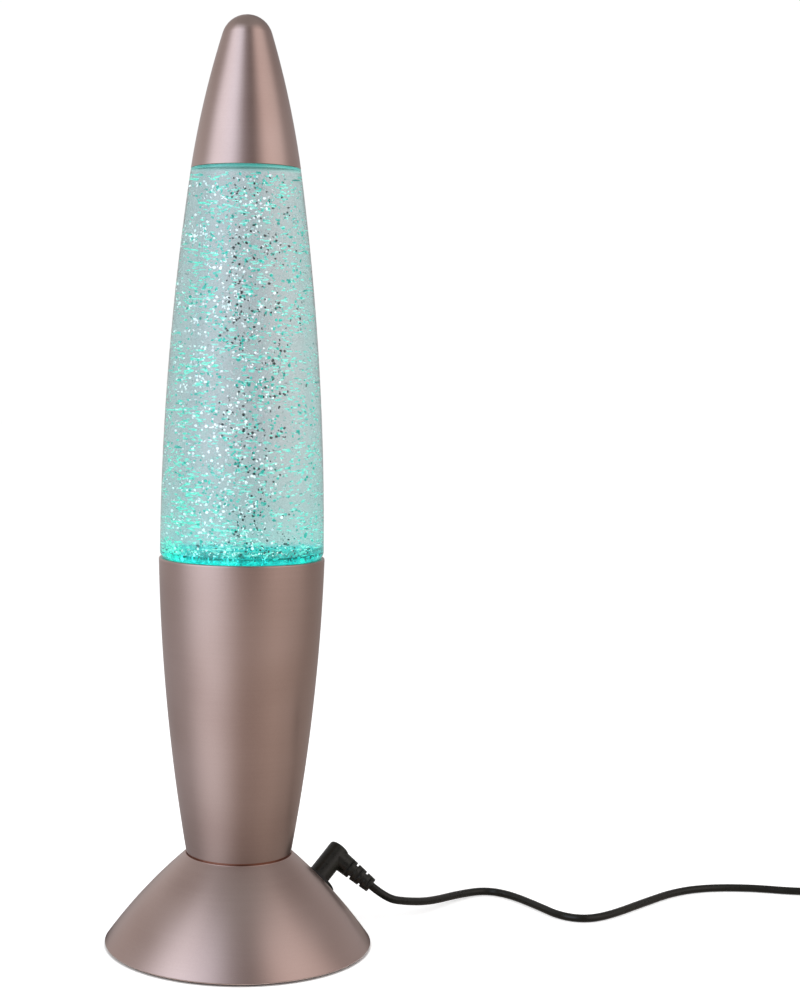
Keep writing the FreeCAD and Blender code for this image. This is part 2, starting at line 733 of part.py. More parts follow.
motorWirePitch = "(boardInnerRadius + 1.4)"
holes(carrier, "wireSlotRadius", wirePitch, f"{carrierTop} + 0.5", "carrierThickness + 1", turn=wireTurn)
holes(carrier, "wireRadius * 2 + 0.6", motorWirePitch, f"{carrierTop} + 0.5", "carrierThickness + 1", turn=180)
screwGroup("carrier_screws", "carrierScrew", "carrierScrewPitch", carrierTop, "carrierThickness + ledgeHeight - 0.4",
           int(value("carrierScrewCount")), 0, False)

# Light board on its ring, with the light chips and the driver chip on top, and the clear window above
disc("led_board", "boardOuterRadius", boardZ, boardTop, "boardInnerRadius")
ledWide = value("ledSize")
led = Part.makeBox(ledWide, ledWide, value("ledHeight"),
                   Vector(value("ledPitch") - ledWide / 2, -ledWide / 2, value(boardTop)))
well = Part.makeCylinder(ledWide * 0.36, 0.4, Vector(value("ledPitch"), 0, value(boardTop) + value("ledHeight") - 0.4))
group("leds", around(led.cut(well), int(value("ledCount"))))
chipBox = Part.makeBox(value("chipWidth"), value("chipLength"), value("chipHeight"),
                       Vector(value("ledPitch - chipWidth / 2"), -value("chipLength") / 2, value(boardTop)))
group("driver_chip", around(chipBox, 1, 180.0 / value("ledCount")))
disc("light_window", carrierRadius, windowZ, windowTop)

# Motor: a can with two flats hung under the carrier, its end cap, its screws and its shaft
canRound = cylinder("motor_round", "motorRadius", "motorLength", motorZ)
canFlats = doc.addObject("Part::Box", "motor_flats")
canFlats.setExpression("Length", cells("motorRadius * 3"))
canFlats.setExpression("Width", cells("motorFlats"))
canFlats.setExpression("Height", cells("motorLength"))
canFlats.Placement.Base = Vector(-value("motorRadius * 1.5"), -value("motorFlats") / 2, value(motorZ))
canFlatted = boolean("Common", "motor_flatted", canRound, canFlats)
canNosed = boolean("Fuse", "motor_nosed", canFlatted,
                   cylinder("motor_nose", "motorNoseRadius", "motorNoseHeight", carrierZ))
canBored = boolean("Cut", "motor_bored", canNosed,
                   cylinder("motor_bore", "shaftRadius + shaftGap", "motorLength * 2", f"{motorZ} - 1"))
screwHoles = doc.addObject("Part::Feature", "motor_screw_holes")
oneHole = Part.makeCylinder(value("motorScrewRadius + screwGap"), value("motorScrewDepth + 0.6"),
                            Vector(value("motorScrewPitch"), 0, value(f"{carrierZ} - motorScrewDepth - 0.6")))
screwHoles.Shape = Part.makeCompound(around(oneHole, 2))
keep("motor_can", boolean("Cut", "motor_can", canBored, screwHoles))
disc("motor_end_cap", "motorRadius - motorCapInset - (motorRadius - motorFlats / 2)",
     f"{motorZ} - motorCapThickness", motorZ, "shaftRadius + shaftGap")
screwGroup("motor_screws", "motorScrew", "motorScrewPitch", carrierTop, "carrierThickness + motorScrewDepth",
           2, 0, False)
disc("motor_shaft", "shaftRadius", f"{motorZ} - motorCapThickness - shaftTail", discTop)

# Magnet disc on the shaft, with two magnets in pockets that open upwards
magnetDisc = revolved("magnet_disc", [
    ("shaftRadius + screwGap / 2", f"{discZ} - discHubHeight"),
    ("discHubRadius", f"{discZ} - discHubHeight"),
    ("discHubRadius", discZ),
    ("discRadius", discZ),
    ("discRadius", discTop),
    ("shaftRadius + screwGap / 2", discTop),
])
holes(magnetDisc, "magnetRadius + magnetGap", "magnetPitch", discTop, "magnetHeight", "2")
magnet = Part.makeCylinder(value("magnetRadius"), value("magnetHeight"),
                           Vector(value("magnetPitch"), 0, value(f"{discTop} - magnetHeight")))
group("drive_magnets", around(magnet, 2))

# Bottle: a bulged, open-necked shell with a straight spigot at its foot and a stepped collar under the neck
footRise = "-0.2929 * bottleFootRound"
spigotInner = f"({spigotRadius} - bottleWall)"
shoulderInner = f"({bottleRadius} - bottleWall)"
innerTopZ = f"({capEdgeZ} - bottleWall)"
collarInner = f"({collarRadius} - bottleWall)"
neckInner = "(neckRadius - bottleWall)"
bottle = revolved("bottle", [
    ("0", spigotZ),
    (f"{spigotRadius} - bottleFootRound", spigotZ, "0.2929 * bottleFootRound"),
    (spigotRadius, f"{spigotZ} + bottleFootRound"),
    (spigotRadius, rimZ),
    (f"{bottleRadius} - bottleCornerInset", rimZ, "bottleCornerRise"),
    (bottleRadius, f"{rimZ} + bottleCornerHeight", "bottleBulge"),
    ("bottleTopRadius", capEdgeZ),
    (collarRadius, capEdgeZ),
    (f"{collarRadius} - 0.8", collarTop),
    ("neckRadius", neckZ),
    ("neckRadius", neckTop),
    (neckInner, neckTop),
    (neckInner, f"{neckZ} - 0.8"),
    (f"{collarInner} - 0.8", f"{collarTop} - 1.2"),
    (collarInner, innerTopZ),
    ("bottleTopRadius - bottleWall", f"{innerTopZ} - 1.5", "-bottleBulge * 0.97"),
    (shoulderInner, f"{rimZ} + bottleCornerHeight"),
    (spigotInner, f"{rimZ} - bottleFootRound"),
    (spigotInner, floorZ),
    ("spindleRadius + screwGap / 2", floorZ),
    ("spindleRadius + screwGap / 2", f"{floorZ} - spindleSink"),
    ("0", f"{floorZ} - spindleSink"),
])
revolved("stirrer_spindle", [
    ("0", f"{floorZ} - spindleSink"),
    ("spindleRadius", f"{floorZ} - spindleSink"),
    ("spindleRadius", f"{floorZ} + spindleHeight - spindleRadius / 2"),
    ("spindleRadius / 2", f"{floorZ} + spindleHeight"),
    ("0", f"{floorZ} + spindleHeight"),
])

# Closure: a ribbed screw lid over the neck, with a flat seal under its top
closureInner = "(neckRadius + closureGap)"
closureOuter = f"({closureInner} + closureWall)"
closure = revolved("bottle_closure", [
    (closureInner, f"{closureTopZ} - closureTop - closureSkirt"),
    (closureOuter, f"{closureTopZ} - closureTop - closureSkirt"),
    (closureOuter, f"{closureTopZ} - 0.8", "0.2343"),
    (f"{closureOuter} - 0.8", closureTopZ),
    ("0", closureTopZ),
    ("0", f"{closureTopZ} - closureTop"),
    (closureInner, f"{closureTopZ} - closureTop"),
])
holes(closure, "closureRibDepth", closureOuter, f"{closureTopZ} - 2", "closureSkirt + closureTop", "closureRibs")
disc("closure_seal", "neckRadius", neckTop, f"{neckTop} + sealThickness")

# Flakes: thin hexagons hung in the liquid, spread by a golden turn and each tilted its own way
goldenTurn = 360 * (1 - 1 / ((1 + math.sqrt(5)) / 2))
flakeCount = int(value("flakeCount"))
lowFlake, highFlake = value(f"{rimZ} + 12"), value(f"{capEdgeZ} - 12")
innerLow, innerHigh = value(shoulderInner), value("bottleTopRadius - bottleWall")
flakeThick = value("flakeThickness")
corner = Vector(value("flakeWidth") / 2, 0, -flakeThick / 2)
hexagon = [FreeCAD.Rotation(Vector(0, 0, 1), 60 * side).multVec(corner) for side in range(7)]
flakes = []
for number in range(flakeCount):
    share = (number + 0.5) / flakeCount
    reach = innerLow + (innerHigh - innerLow) * share - value("flakeMargin")
    out = reach * math.sqrt(((number * 11) % flakeCount + 0.5) / flakeCount)
    turn = math.radians(goldenTurn * number)
    centre = Vector(out * math.cos(turn), out * math.sin(turn), lowFlake + (highFlake - lowFlake) * share)
    flake = Part.Face(Part.makePolygon(hexagon)).extrude(Vector(0, 0, flakeThick))
    tilt = FreeCAD.Rotation(Vector(math.cos(turn * 1.7), math.sin(turn * 1.7), 0), 30 + 97 * number % 120)
    flake.Placement = FreeCAD.Placement(centre, tilt)
    flakes.append(flake)
flakeGroup = group("glitter_flakes", flakes)

# Liquid: the bottle's inside up to the neck, less the stirrer's room and the flakes
liquidFill = revolved("liquid_fill", [
    (stirRoomRadius, f"{floorZ} + liquidGap"),
    (f"{spigotInner} - liquidGap", f"{floorZ} + liquidGap"),
    (f"{spigotInner} - liquidGap", f"{rimZ} - bottleFootRound"),
    (f"{shoulderInner} - liquidGap", f"{rimZ} + bottleCornerHeight", "bottleBulge * 0.97"),
    ("bottleTopRadius - bottleWall - liquidGap", f"{innerTopZ} - 1.5"),
    (f"{collarInner} - liquidGap * 2", f"{innerTopZ} - liquidGap"),
    (f"{collarInner} - 0.8 - liquidGap * 2", f"{collarTop} - 1.2 - liquidGap"),
    (f"{neckInner} - liquidGap", f"{neckZ} - 0.8 - liquidGap"),
    (f"{neckInner} - liquidGap", f"{neckTop} - liquidHeadroom"),
    ("0", f"{neckTop} - liquidHeadroom"),
    ("0", stirRoomTop),
    (stirRoomRadius, stirRoomTop),
])
keep("liquid", boolean("Cut", "liquid", liquidFill, flakeGroup))
parts.pop("liquid_fill")

# Stirrer on the spindle: a hub, a plate with two magnets sealed in it, and upright blades
stirrer = revolved("stirrer", [
    ("spindleRadius + shaftGap", stirrerZ),
    ("stirrerRadius", stirrerZ),
    ("stirrerRadius", f"{stirrerZ} + stirrerPlate"),
    ("stirrerHubRadius", f"{stirrerZ} + stirrerPlate"),
    ("stirrerHubRadius", f"{stirrerZ} + stirrerHeight"),
    ("spindleRadius + shaftGap", f"{stirrerZ} + stirrerHeight"),
])
bladeSketch = newSketch(stirrer, "XY_Plane", f"{stirrerZ} + stirrerPlate / 2")
drawOutline(bladeSketch, [
    ("stirrerHubRadius - 1", "-bladeThickness / 2"),
    ("stirrerRadius - 0.5", "-bladeThickness / 2"),
    ("stirrerRadius - 0.5", "bladeThickness / 2"),
    ("stirrerHubRadius - 1", "bladeThickness / 2"),
])
blade = stirrer.newObject("PartDesign::Pad", "Blade")
blade.Profile = bladeSketch
blade.setExpression("Length", cells("stirrerPlate / 2 + bladeHeight"))
repeated(stirrer, blade, "bladeCount")
holes(stirrer, "stirMagnetRadius + magnetGap", "magnetPitch", f"{stirrerZ} + stirMagnetHeight",
      "stirMagnetHeight + 1", "2", turn=30)
stirMagnet = Part.makeCylinder(value("stirMagnetRadius"), value("stirMagnetHeight"),
                               Vector(value("magnetPitch"), 0, value(stirrerZ)))
group("stirrer_magnets", around(stirMagnet, 2, 30))

# Pointed cap: one spun shell whose side runs smoothly into its round tip
tipZ = f"({topZ} - capTipRadius)"
meetZ = f"({tipZ} + capTipRadius * sin(capTipSlope))"
meetInnerZ = f"({tipZ} + (capTipRadius - capWall) * sin(capTipSlope))"
meetRadius = "(capTipRadius * cos(capTipSlope))"
meetInner = "((capTipRadius - capWall) * cos(capTipSlope))"


def sideRise(edge, meet, meetHeight):
    """The height of the side's arc that ends at the tip's slope."""
    length = f"hypot({edge} - {meet}; {meetHeight} - {capEdgeZ})"
    lean = f"atan2({edge} - {meet}; {meetHeight} - {capEdgeZ}) / 1 deg"
    return f"({length} / 2 * tan((capTipSlope - {lean}) / 2))"


tipRise = "(1 - cos((90 - capTipSlope) / 2))"
revolved("cap", [
    (capEdgeInner, capEdgeZ),
    ("bottleTopRadius", capEdgeZ, sideRise("bottleTopRadius", meetRadius, meetZ)),
    (meetRadius, meetZ, f"capTipRadius * {tipRise}"),
    ("0", topZ),
    ("0", f"{topZ} - capWall", f"-(capTipRadius - capWall) * {tipRise}"),
    (meetInner, meetInnerZ, f"-{sideRise(capEdgeInner, meetInner, meetInnerZ)}"),
])

# Tubes: wires and the cord are straight runs joined by tangent arcs


def tubePath(points, share):
    """Lines and arcs through a route, with each arc as large as its two runs allow."""
    edges = []
    radii = []
    here = points[0]
    for before, point, after in zip(points, points[1:], points[2:]):
        came = (point - before).normalize()
        goes = (after - point).normalize()
        half = came.getAngle(goes) / 2
        reach = share * min((point - before).Length, (after - point).Length)
        radius = reach / math.tan(half)
        radii.append(radius)
        start, end = point - came * reach, point + goes * reach
        middle = point + (goes - came).normalize() * (radius / math.cos(half) - radius)
        edges += [Part.LineSegment(here, start).toShape(), Part.Arc(start, middle, end).toShape()]
        here = end
    edges.append(Part.LineSegment(here, points[-1]).toShape())
    return Part.Wire(edges), radii


def tube(path, radius, start, heading):
    """A round tube along a path of lines and arcs."""
    ring = Part.Wire(Part.Circle(start, heading, radius).toShape())
    return path.makePipeShell([ring], True, False)


def wire(points, shift):
    """A wire beside a route, whose first run stays square to the face that it starts on."""
    first = (points[1] - points[0]).normalize()
    level = shift - first * shift.dot(first)
    moved = [points[0] + level, points[1] + level] + [point + shift for point in points[2:]]
    path, radii = tubePath(moved, 0.45)
    return tube(path, value("wireRadius"), moved[0], moved[1] - moved[0])


# Supply wires from the jack's rear up through the body to the light board, and the motor's own pair
slotAngle = math.radians(wireTurn)
slotWay = Vector(math.cos(slotAngle), math.sin(slotAngle), 0)
slotSide = Vector(-math.sin(slotAngle), math.cos(slotAngle), 0)
jackRear = jackPlace.multVec(Vector(0, 0, -value("jackDepth")))
boardEnd = slotWay * value(wirePitch) + Vector(0, 0, value(boardZ))
jackInward = Vector(jackRear.x, jackRear.y, 0)


def inJoint(share):
    """A height as a share of the foot's own height."""
    return Vector(0, 0, value(jointZ) * share)


def inBody(share):
    """A height as a share of the body, from the joint to the rim."""
    return Vector(0, 0, value(jointZ) + value("bodyLength") * share)


supplyRoute = [
    jackRear,
    jackRear - jackAxis * (value("jackDepth") * 0.35),
    jackInward * 0.61 + inJoint(0.42),
    jackInward * 0.137 + inJoint(0.864),
    slotWay * (value(wirePitch) * 0.17) + inBody(0.1),
    slotWay * (value(wirePitch) * 0.55) + inBody(0.31),
    slotWay * (value(wirePitch) * 1.0) + inBody(0.51),
    slotWay * (value(wirePitch) * 1.01) + inBody(0.677),
    boardEnd,
]
halfSpacing = value("wireSpacing") / 2
group("supply_wire_red", [wire(supplyRoute, slotSide * halfSpacing)])
group("supply_wire_black", [wire(supplyRoute, slotSide * -halfSpacing)])
motorFoot = value(f"{motorZ} - motorCapThickness")
motorRoute = [
    Vector(-4.2, 0, motorFoot),
    Vector(-4.2, 0, motorFoot - 4),
    Vector(-value(motorWirePitch) + 2.5, 0, motorFoot - 4.6),
    Vector(-value(motorWirePitch), 0, motorFoot + 3),
    Vector(-value(motorWirePitch) - 0.05, 0, value(carrierZ) - 6),
    Vector(-value(motorWirePitch), 0, value(boardZ)),
]
group("motor_wires", [wire(motorRoute, Vector(0, 0.9, 0)), wire(motorRoute, Vector(0, -0.9, 0))])

# Cord: down from the plug and along the floor in loose waves, at its real size
cordRadius = value("cordDiameter") / 2
cordZ = cordRadius + value("cordRest")
armEnd = jackPlace.multVec(Vector(value("plugArmLength"), 0, value(armZ)))
floorRoute = [
    (111.8, 68.7), (122.0, 63.0), (132.1, 46.3), (139.7, 31.4), (150.2, 26.8), (162.2, 33.4), (180.8, 51.6),
    (198.4, 67.9), (215.0, 74.9), (235.0, 75.2), (253.0, 70.2), (269.0, 69.5), (285.0, 69.5),
]
route = [armEnd + armAxis * 0.02, armEnd + armAxis * 8.5, Vector(71.95, 30.2, 8.2), Vector(83.8, 42.0, 4.6),
         Vector(99.4, 60.8, 2.4)]
route += [Vector(x, y, cordZ) for x, y in floorRoute]
cordPath, cordRadii = tubePath(route, value("cordArcShare"))
cordTube = tube(cordPath, cordRadius, route[0], route[1] - route[0])
group("cord_free", [cordTube])
print("cord radii", [round(radius, 1) for radius in cordRadii])

# Coil of the put-away length: it spirals in on the floor, climbs where it turns back, and spirals out on top
pitch = value("cordDiameter + coilGap")
position = route[-1]
heading = 0.0
coilEdges = []


def ahead(angle):
    return Vector(math.cos(angle), math.sin(angle), 0)


def straight(length):
    """Carries the coil's path on in a line."""
    global position
    start = position
    position = start + ahead(heading) * length
    coilEdges.append(Part.LineSegment(start, position).toShape())


def bend(radius, angle):
    """Carries the coil's path on in a level arc to the right."""
    global position, heading
    centre = position + ahead(heading - math.pi / 2) * radius
    halfway = centre + ahead(heading + math.pi / 2 - angle / 2) * radius
    end = centre + ahead(heading + math.pi / 2 - angle) * radius
    coilEdges.append(Part.Arc(position, halfway, end).toShape())
    position, heading = end, heading - angle


def climb(radius, rise):
    """Carries the path on in a half turn to the right that rises one layer, as two equal arcs."""
    global position, heading
    start, way = position, ahead(heading)
    end = start + ahead(heading - math.pi / 2) * (2 * radius) + Vector(0, 0, rise)
    reach = (end - start).Length / 2
    middle = (start + end) / 2 + way * reach
    for first, last, came, goes in ((start, middle, way, (end - start).normalize()),
                                    (middle, end, (end - start).normalize(), way * -1)):
        knee = first + came * reach
        shoulder = knee + (goes - came).normalize() * (reach * (math.sqrt(2) - 1))
        coilEdges.append(Part.Arc(first, shoulder, last).toShape())
    position, heading = end, heading - math.pi


straight(value("cordDiameter"))
coilLoops = int(value("coilLoops"))
outerRadius = value("coilRadius")
bend(outerRadius, math.pi / 2)
for step in range(1, 2 * coilLoops + 1):
    bend(outerRadius - step * pitch / 2, math.pi)
climb(outerRadius - (2 * coilLoops + 1) * pitch / 2, pitch)
for step in range(2 * coilLoops, -1, -1):
    bend(outerRadius - step * pitch / 2, math.pi)
straight(value("cordDiameter"))
coilPath = Part.Wire(coilEdges)
coilTube = tube(coilPath, cordRadius, route[-1], Vector(1, 0, 0))
group("cord_coil", [coilTube])
coilEnd, coilWay = position, ahead(heading)

# The cord's tail comes down from the coil's upper layer into the far plug, which lies on the same floor
farZ = value("farGripHeight") / 2 + value("cordRest")
tailEnd = coilEnd + coilWay * value("cordTailDrop") + Vector(0, 0, farZ - coilEnd.z)
tailRoute = [
    coilEnd + coilWay * value("farGap"),
    coilEnd + coilWay * (value("cordTailDrop") * 0.34),
    coilEnd + coilWay * (value("cordTailDrop") * 0.68) + Vector(0, 0, farZ - coilEnd.z),
    tailEnd - coilWay * value("farGap"),
]
tailPath, tailRadii = tubePath(tailRoute, value("cordArcShare"))
tailTube = tube(tailPath, cordRadius, tailRoute[0], coilWay)
group("cord_tail", [tailTube])
for name, path, solid in (("free", cordPath, cordTube), ("coil", coilPath, coilTube), ("tail", tailPath, tailTube)):
    straightVolume = math.pi * cordRadius ** 2 * path.Length
    print(f"cord {name}: length {path.Length:.1f}, volume ratio {solid.Volume / straightVolume:.4f}")


def leastGap(path, diameter, step=1.5):
    """The smallest clear distance between stretches of a tube that are not neighbours along it."""
    samples = []
    for edge in path.Edges:
        samples += edge.discretize(Number=max(3, int(edge.Length / step)))[:-1]
    skip = int(4 * diameter / step)
    best = min((samples[i] - samples[j]).Length for i in range(len(samples)) for j in range(i + skip, len(samples)))
    return best - diameter


print(f"coil least gap {leastGap(coilPath, value('cordDiameter')):.2f}")

# Far plug: a tapered relief, a rounded grip, a folded metal shell and the tongue with its contacts inside
farPlace = FreeCAD.Placement(tailEnd, FreeCAD.Rotation(Vector(0, 0, 1).cross(coilWay) * -1, Vector(0, 0, 1),
                                                       coilWay, "ZXY"))


def farPiece(label, width, height, low, high, hollow=None):
    """A rectangular piece along the far plug's axis, with an optional rectangular hollow right through."""
    body = doc.addObject("PartDesign::Body", label)
    sketch = newSketch(body, "XY_Plane", low)
    rectangle(sketch, width, height)
    if hollow:
        rectangle(sketch, f"{width} - 2 * {hollow}", f"{height} - 2 * {hollow}")
    pad = body.newObject("PartDesign::Pad", "Pad")
    pad.Profile = sketch
    pad.setExpression("Length", cells(f"({high}) - ({low})"))
    body.Tip = pad
    body.Placement = farPlace
    return body


gripStart = "farReliefLength"
gripEnd = "(farReliefLength + farGripLength)"
shellStart = f"({gripEnd} - farShellSink)"
shellEnd = f"({gripEnd} + farShellLength - farShellSink)"
relief = revolved("usb_strain_relief", [
    ("0", "0"),
    ("farReliefEndRadius", "0"),
    ("farReliefEndRadius * 1.35", "farReliefLength"),
    ("0", "farReliefLength"),
])
relief.Placement = farPlace
gripBlock = farPiece("usb_grip_block", "farGripWidth", "farGripHeight", gripStart, gripEnd)
doc.recompute()
gripPad = gripBlock.Tip
gripSides = [f"Edge{number}" for number, edge in enumerate(gripPad.Shape.Edges, start=1)
             if abs(edge.Length - value("farGripLength")) < 0.01]
rounding = gripBlock.newObject("PartDesign::Fillet", "Fillet")
rounding.Base = (gripPad, gripSides)
rounding.setExpression("Radius", cells("farGripRound"))
gripBlock.Tip = rounding
gripHollow = farPiece("usb_grip_hollow", "farShellWidth + 2 * farGap", "farShellHeight + 2 * farGap",
                      shellStart, f"{gripEnd} + 1")
keep("usb_grip", boolean("Cut", "usb_grip", gripBlock, gripHollow))
keep("usb_shell", farPiece("usb_shell", "farShellWidth", "farShellHeight", shellStart, shellEnd, "farShellWall"))
tongue = farPiece("usb_tongue", "farShellWidth - 2 * farShellWall - 2 * farGap", "farTongueHeight",
                  f"{shellStart} + farGap", f"{shellEnd} - farTongueSetback")
keep("usb_tongue", tongue)

# Every object must be sound before anything is written
doc.recompute()
for thing in doc.Objects:
    if "Invalid" in thing.State or "Error" in thing.State:
        raise RuntimeError(f"{thing.Label} failed: {thing.State}")
for before, after in cuts:
    if after.Shape.Volume > before.Shape.Volume - 0.01:
        raise RuntimeError(f"{after.Label} cuts nothing")
for label, thing in parts.items():
    if thing.Shape.isNull() or not thing.Shape.isValid() or not thing.Shape.Solids:
        raise RuntimeError(f"{label} has no sound solid")

os.makedirs("parts", exist_ok=True)
for label, thing in parts.items():
    thing.Shape.exportStep(f"parts/{label}.step")
print(len(parts), "sub-parts written")
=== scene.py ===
import math

import bmesh
import bpy
from mathutils import Matrix, Vector


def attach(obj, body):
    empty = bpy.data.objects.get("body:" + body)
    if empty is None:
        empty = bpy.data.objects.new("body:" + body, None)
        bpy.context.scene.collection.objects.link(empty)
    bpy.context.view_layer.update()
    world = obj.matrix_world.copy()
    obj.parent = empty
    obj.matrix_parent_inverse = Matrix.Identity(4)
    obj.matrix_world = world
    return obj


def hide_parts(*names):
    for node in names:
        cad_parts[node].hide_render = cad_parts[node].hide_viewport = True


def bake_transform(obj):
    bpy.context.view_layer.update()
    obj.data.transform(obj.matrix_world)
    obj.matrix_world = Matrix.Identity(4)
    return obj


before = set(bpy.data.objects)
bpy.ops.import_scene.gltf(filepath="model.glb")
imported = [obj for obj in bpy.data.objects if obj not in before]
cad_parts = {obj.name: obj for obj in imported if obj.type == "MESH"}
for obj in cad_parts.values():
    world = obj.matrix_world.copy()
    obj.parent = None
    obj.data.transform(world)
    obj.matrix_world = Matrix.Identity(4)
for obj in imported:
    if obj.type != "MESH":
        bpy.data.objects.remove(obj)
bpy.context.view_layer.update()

mm = 0.001
print("frame loaded with", len(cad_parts), "nodes")


# colours, nodes and materials

def colour(hexCode):
    # sRGB hex to the linear colour that Blender works in
    parts = [int(hexCode[place:place + 2], 16) / 255 for place in (1, 3, 5)]
    linear = [part / 12.92 if part <= 0.04045 else ((part + 0.055) / 1.055) ** 2.4 for part in parts]
    return (*linear, 1.0)


def addNode(tree, kind, settings=None, inputs=None):
    node = tree.nodes.new(kind)
    for name, setting in (settings or {}).items():
        setattr(node, name, setting)
    for name, source in (inputs or {}).items():
        if isinstance(source, bpy.types.NodeSocket):
            tree.links.new(source, node.inputs[name])
        else:
            node.inputs[name].default_value = source
    return node


def newMaterial(name, **sockets):
    # a Principled material whose plain values sit on the shader's own sockets
    material = bpy.data.materials.new(name)
    material.use_nodes = True
    shader = material.node_tree.nodes["Principled BSDF"]
    for socket, setting in sockets.items():
        shader.inputs[socket.replace("_", " ")].default_value = setting
    return material, material.node_tree, shader


def objectPoint(tree, scale=(1, 1, 1)):
    place = addNode(tree, "ShaderNodeTexCoord").outputs["Object"]
    return addNode(tree, "ShaderNodeMapping", None, {"Vector": place, "Scale": scale}).outputs["Vector"]


def noiseAt(tree, point, size, detail=2.0, roughness=0.5):
    # a noise whose grains are about one size across, in metres
    return addNode(tree, "ShaderNodeTexNoise", None, {
        "Vector": point, "Scale": 1 / size, "Detail": detail, "Roughness": roughness}).outputs["Fac"]


def ramp(tree, source, stops, way="LINEAR"):
    # stops are pairs of a place and a hex code or a linear colour
    node = addNode(tree, "ShaderNodeValToRGB", None, {"Fac": source})
    bar = node.color_ramp
    bar.interpolation = way
    while len(bar.elements) < len(stops):
        bar.elements.new(0.5)
    for element, (place, shade) in zip(bar.elements, stops):
        element.position = place
        element.color = colour(shade) if isinstance(shade, str) else shade
    return node.outputs["Color"]


def worked(tree, operation, *values):
    return addNode(tree, "ShaderNodeMath", {"operation": operation}, dict(enumerate(values))).outputs[0]


def rangeOf(tree, source, low, high, toLow=0.0, toHigh=1.0, smooth=False):
    # carries low..high to toLow..toHigh and holds it there outside
    settings = {"interpolation_type": "SMOOTHSTEP"} if smooth else None
    ends = {"Value": source, "From Min": low, "From Max": high, "To Min": toLow, "To Max": toHigh}
    return addNode(tree, "ShaderNodeMapRange", settings, ends).outputs["Result"]


def mixedColours(tree, share, first, second):
    return addNode(tree, "ShaderNodeMix", {"data_type": "RGBA"}, {0: share, 6: first, 7: second}).outputs[2]


def placeParts(tree):
    # the object's own X, Y and Z
    return addNode(tree, "ShaderNodeSeparateXYZ", None, {"Vector": objectPoint(tree)}).outputs


def awayFromAxis(tree, spot):
    return worked(tree, "SQRT", worked(tree, "MULTIPLY_ADD", spot["X"], spot["X"],
                                       worked(tree, "MULTIPLY", spot["Y"], spot["Y"])))


def bumped(tree, shader, heights, strength, distance):
    node = addNode(tree, "ShaderNodeBump", None, {
        "Height": heights, "Strength": strength, "Distance": distance})
    tree.links.new(node.outputs["Normal"], shader.inputs["Normal"])


def blended(tree, first, second, share):
    return worked(tree, "MULTIPLY_ADD", second, share, first)


def lacquerMaterial():
    # rose-grey metallic lacquer over spun metal: a smooth satin with a trace of turning lines and flake, and
    # painted shade in the seam under the body
    material, tree, shader = newMaterial("satinMetallicLacquer", Metallic=1.0, Roughness=0.29,
                                         Coat_Weight=0.1, Coat_Roughness=0.2)
    grain = noiseAt(tree, objectPoint(tree), 0.5 * mm, 3.0)    # coarser than the real flake
    cloud = noiseAt(tree, objectPoint(tree), 38 * mm, 1.0)
    lines = noiseAt(tree, objectPoint(tree, (0.02, 0.02, 1.0)), 0.9 * mm, 4.0, 0.65)    # round the axis
    mixed = blended(tree, blended(tree, cloud, grain, 0.22), lines, 0.14)
    satin = ramp(tree, mixed, [(0.48, "#BBA39B"), (0.68, "#C5AEA6"), (0.88, "#CCB6AF")])
    height = placeParts(tree)["Z"]
    gap = worked(tree, "MULTIPLY",    # painted shade in the gap under the body: the lacquer there turns dark
                 rangeOf(tree, height, 38.04 * mm, 38.1 * mm), rangeOf(tree, height, 38.86 * mm, 38.8 * mm))
    tree.links.new(mixedColours(tree, gap, satin, colour("#9C7262")), shader.inputs["Base Color"])
    tree.links.new(rangeOf(tree, lines, 0.3, 0.7, 0.28, 0.31), shader.inputs["Roughness"])
    bumped(tree, shader, blended(tree, lines, grain, 0.5), 0.02, 0.03 * mm)
    return material


def blackMouldingMaterial(name, tint, rough):
    # soft PVC or ABS from a spark-eroded mould: near black with a fine satin grain
    material, tree, shader = newMaterial(name, Roughness=rough, IOR=1.5, Specular_IOR_Level=0.38)
    grain = noiseAt(tree, objectPoint(tree), 0.28 * mm, 3.0)
    cloud = noiseAt(tree, objectPoint(tree), 3.5 * mm, 2.0)
    tree.links.new(ramp(tree, blended(tree, grain, cloud, 0.6), tint), shader.inputs["Base Color"])
    tree.links.new(rangeOf(tree, cloud, 0.3, 0.7, rough - 0.06, rough + 0.08), shader.inputs["Roughness"])
    bumped(tree, shader, grain, 0.18, 0.04 * mm)
    return material


def plainMaterial(name, low, high, size, bump=0.05, **sockets):
    # a solid finish whose colour drifts a little between two hex codes
    material, tree, shader = newMaterial(name, **sockets)
    drift = noiseAt(tree, objectPoint(tree), size, 3.0)
    tree.links.new(ramp(tree, drift, [(0.35, low), (0.65, high)]), shader.inputs["Base Color"])
    bumped(tree, shader, drift, bump, 0.05 * mm)
    return material


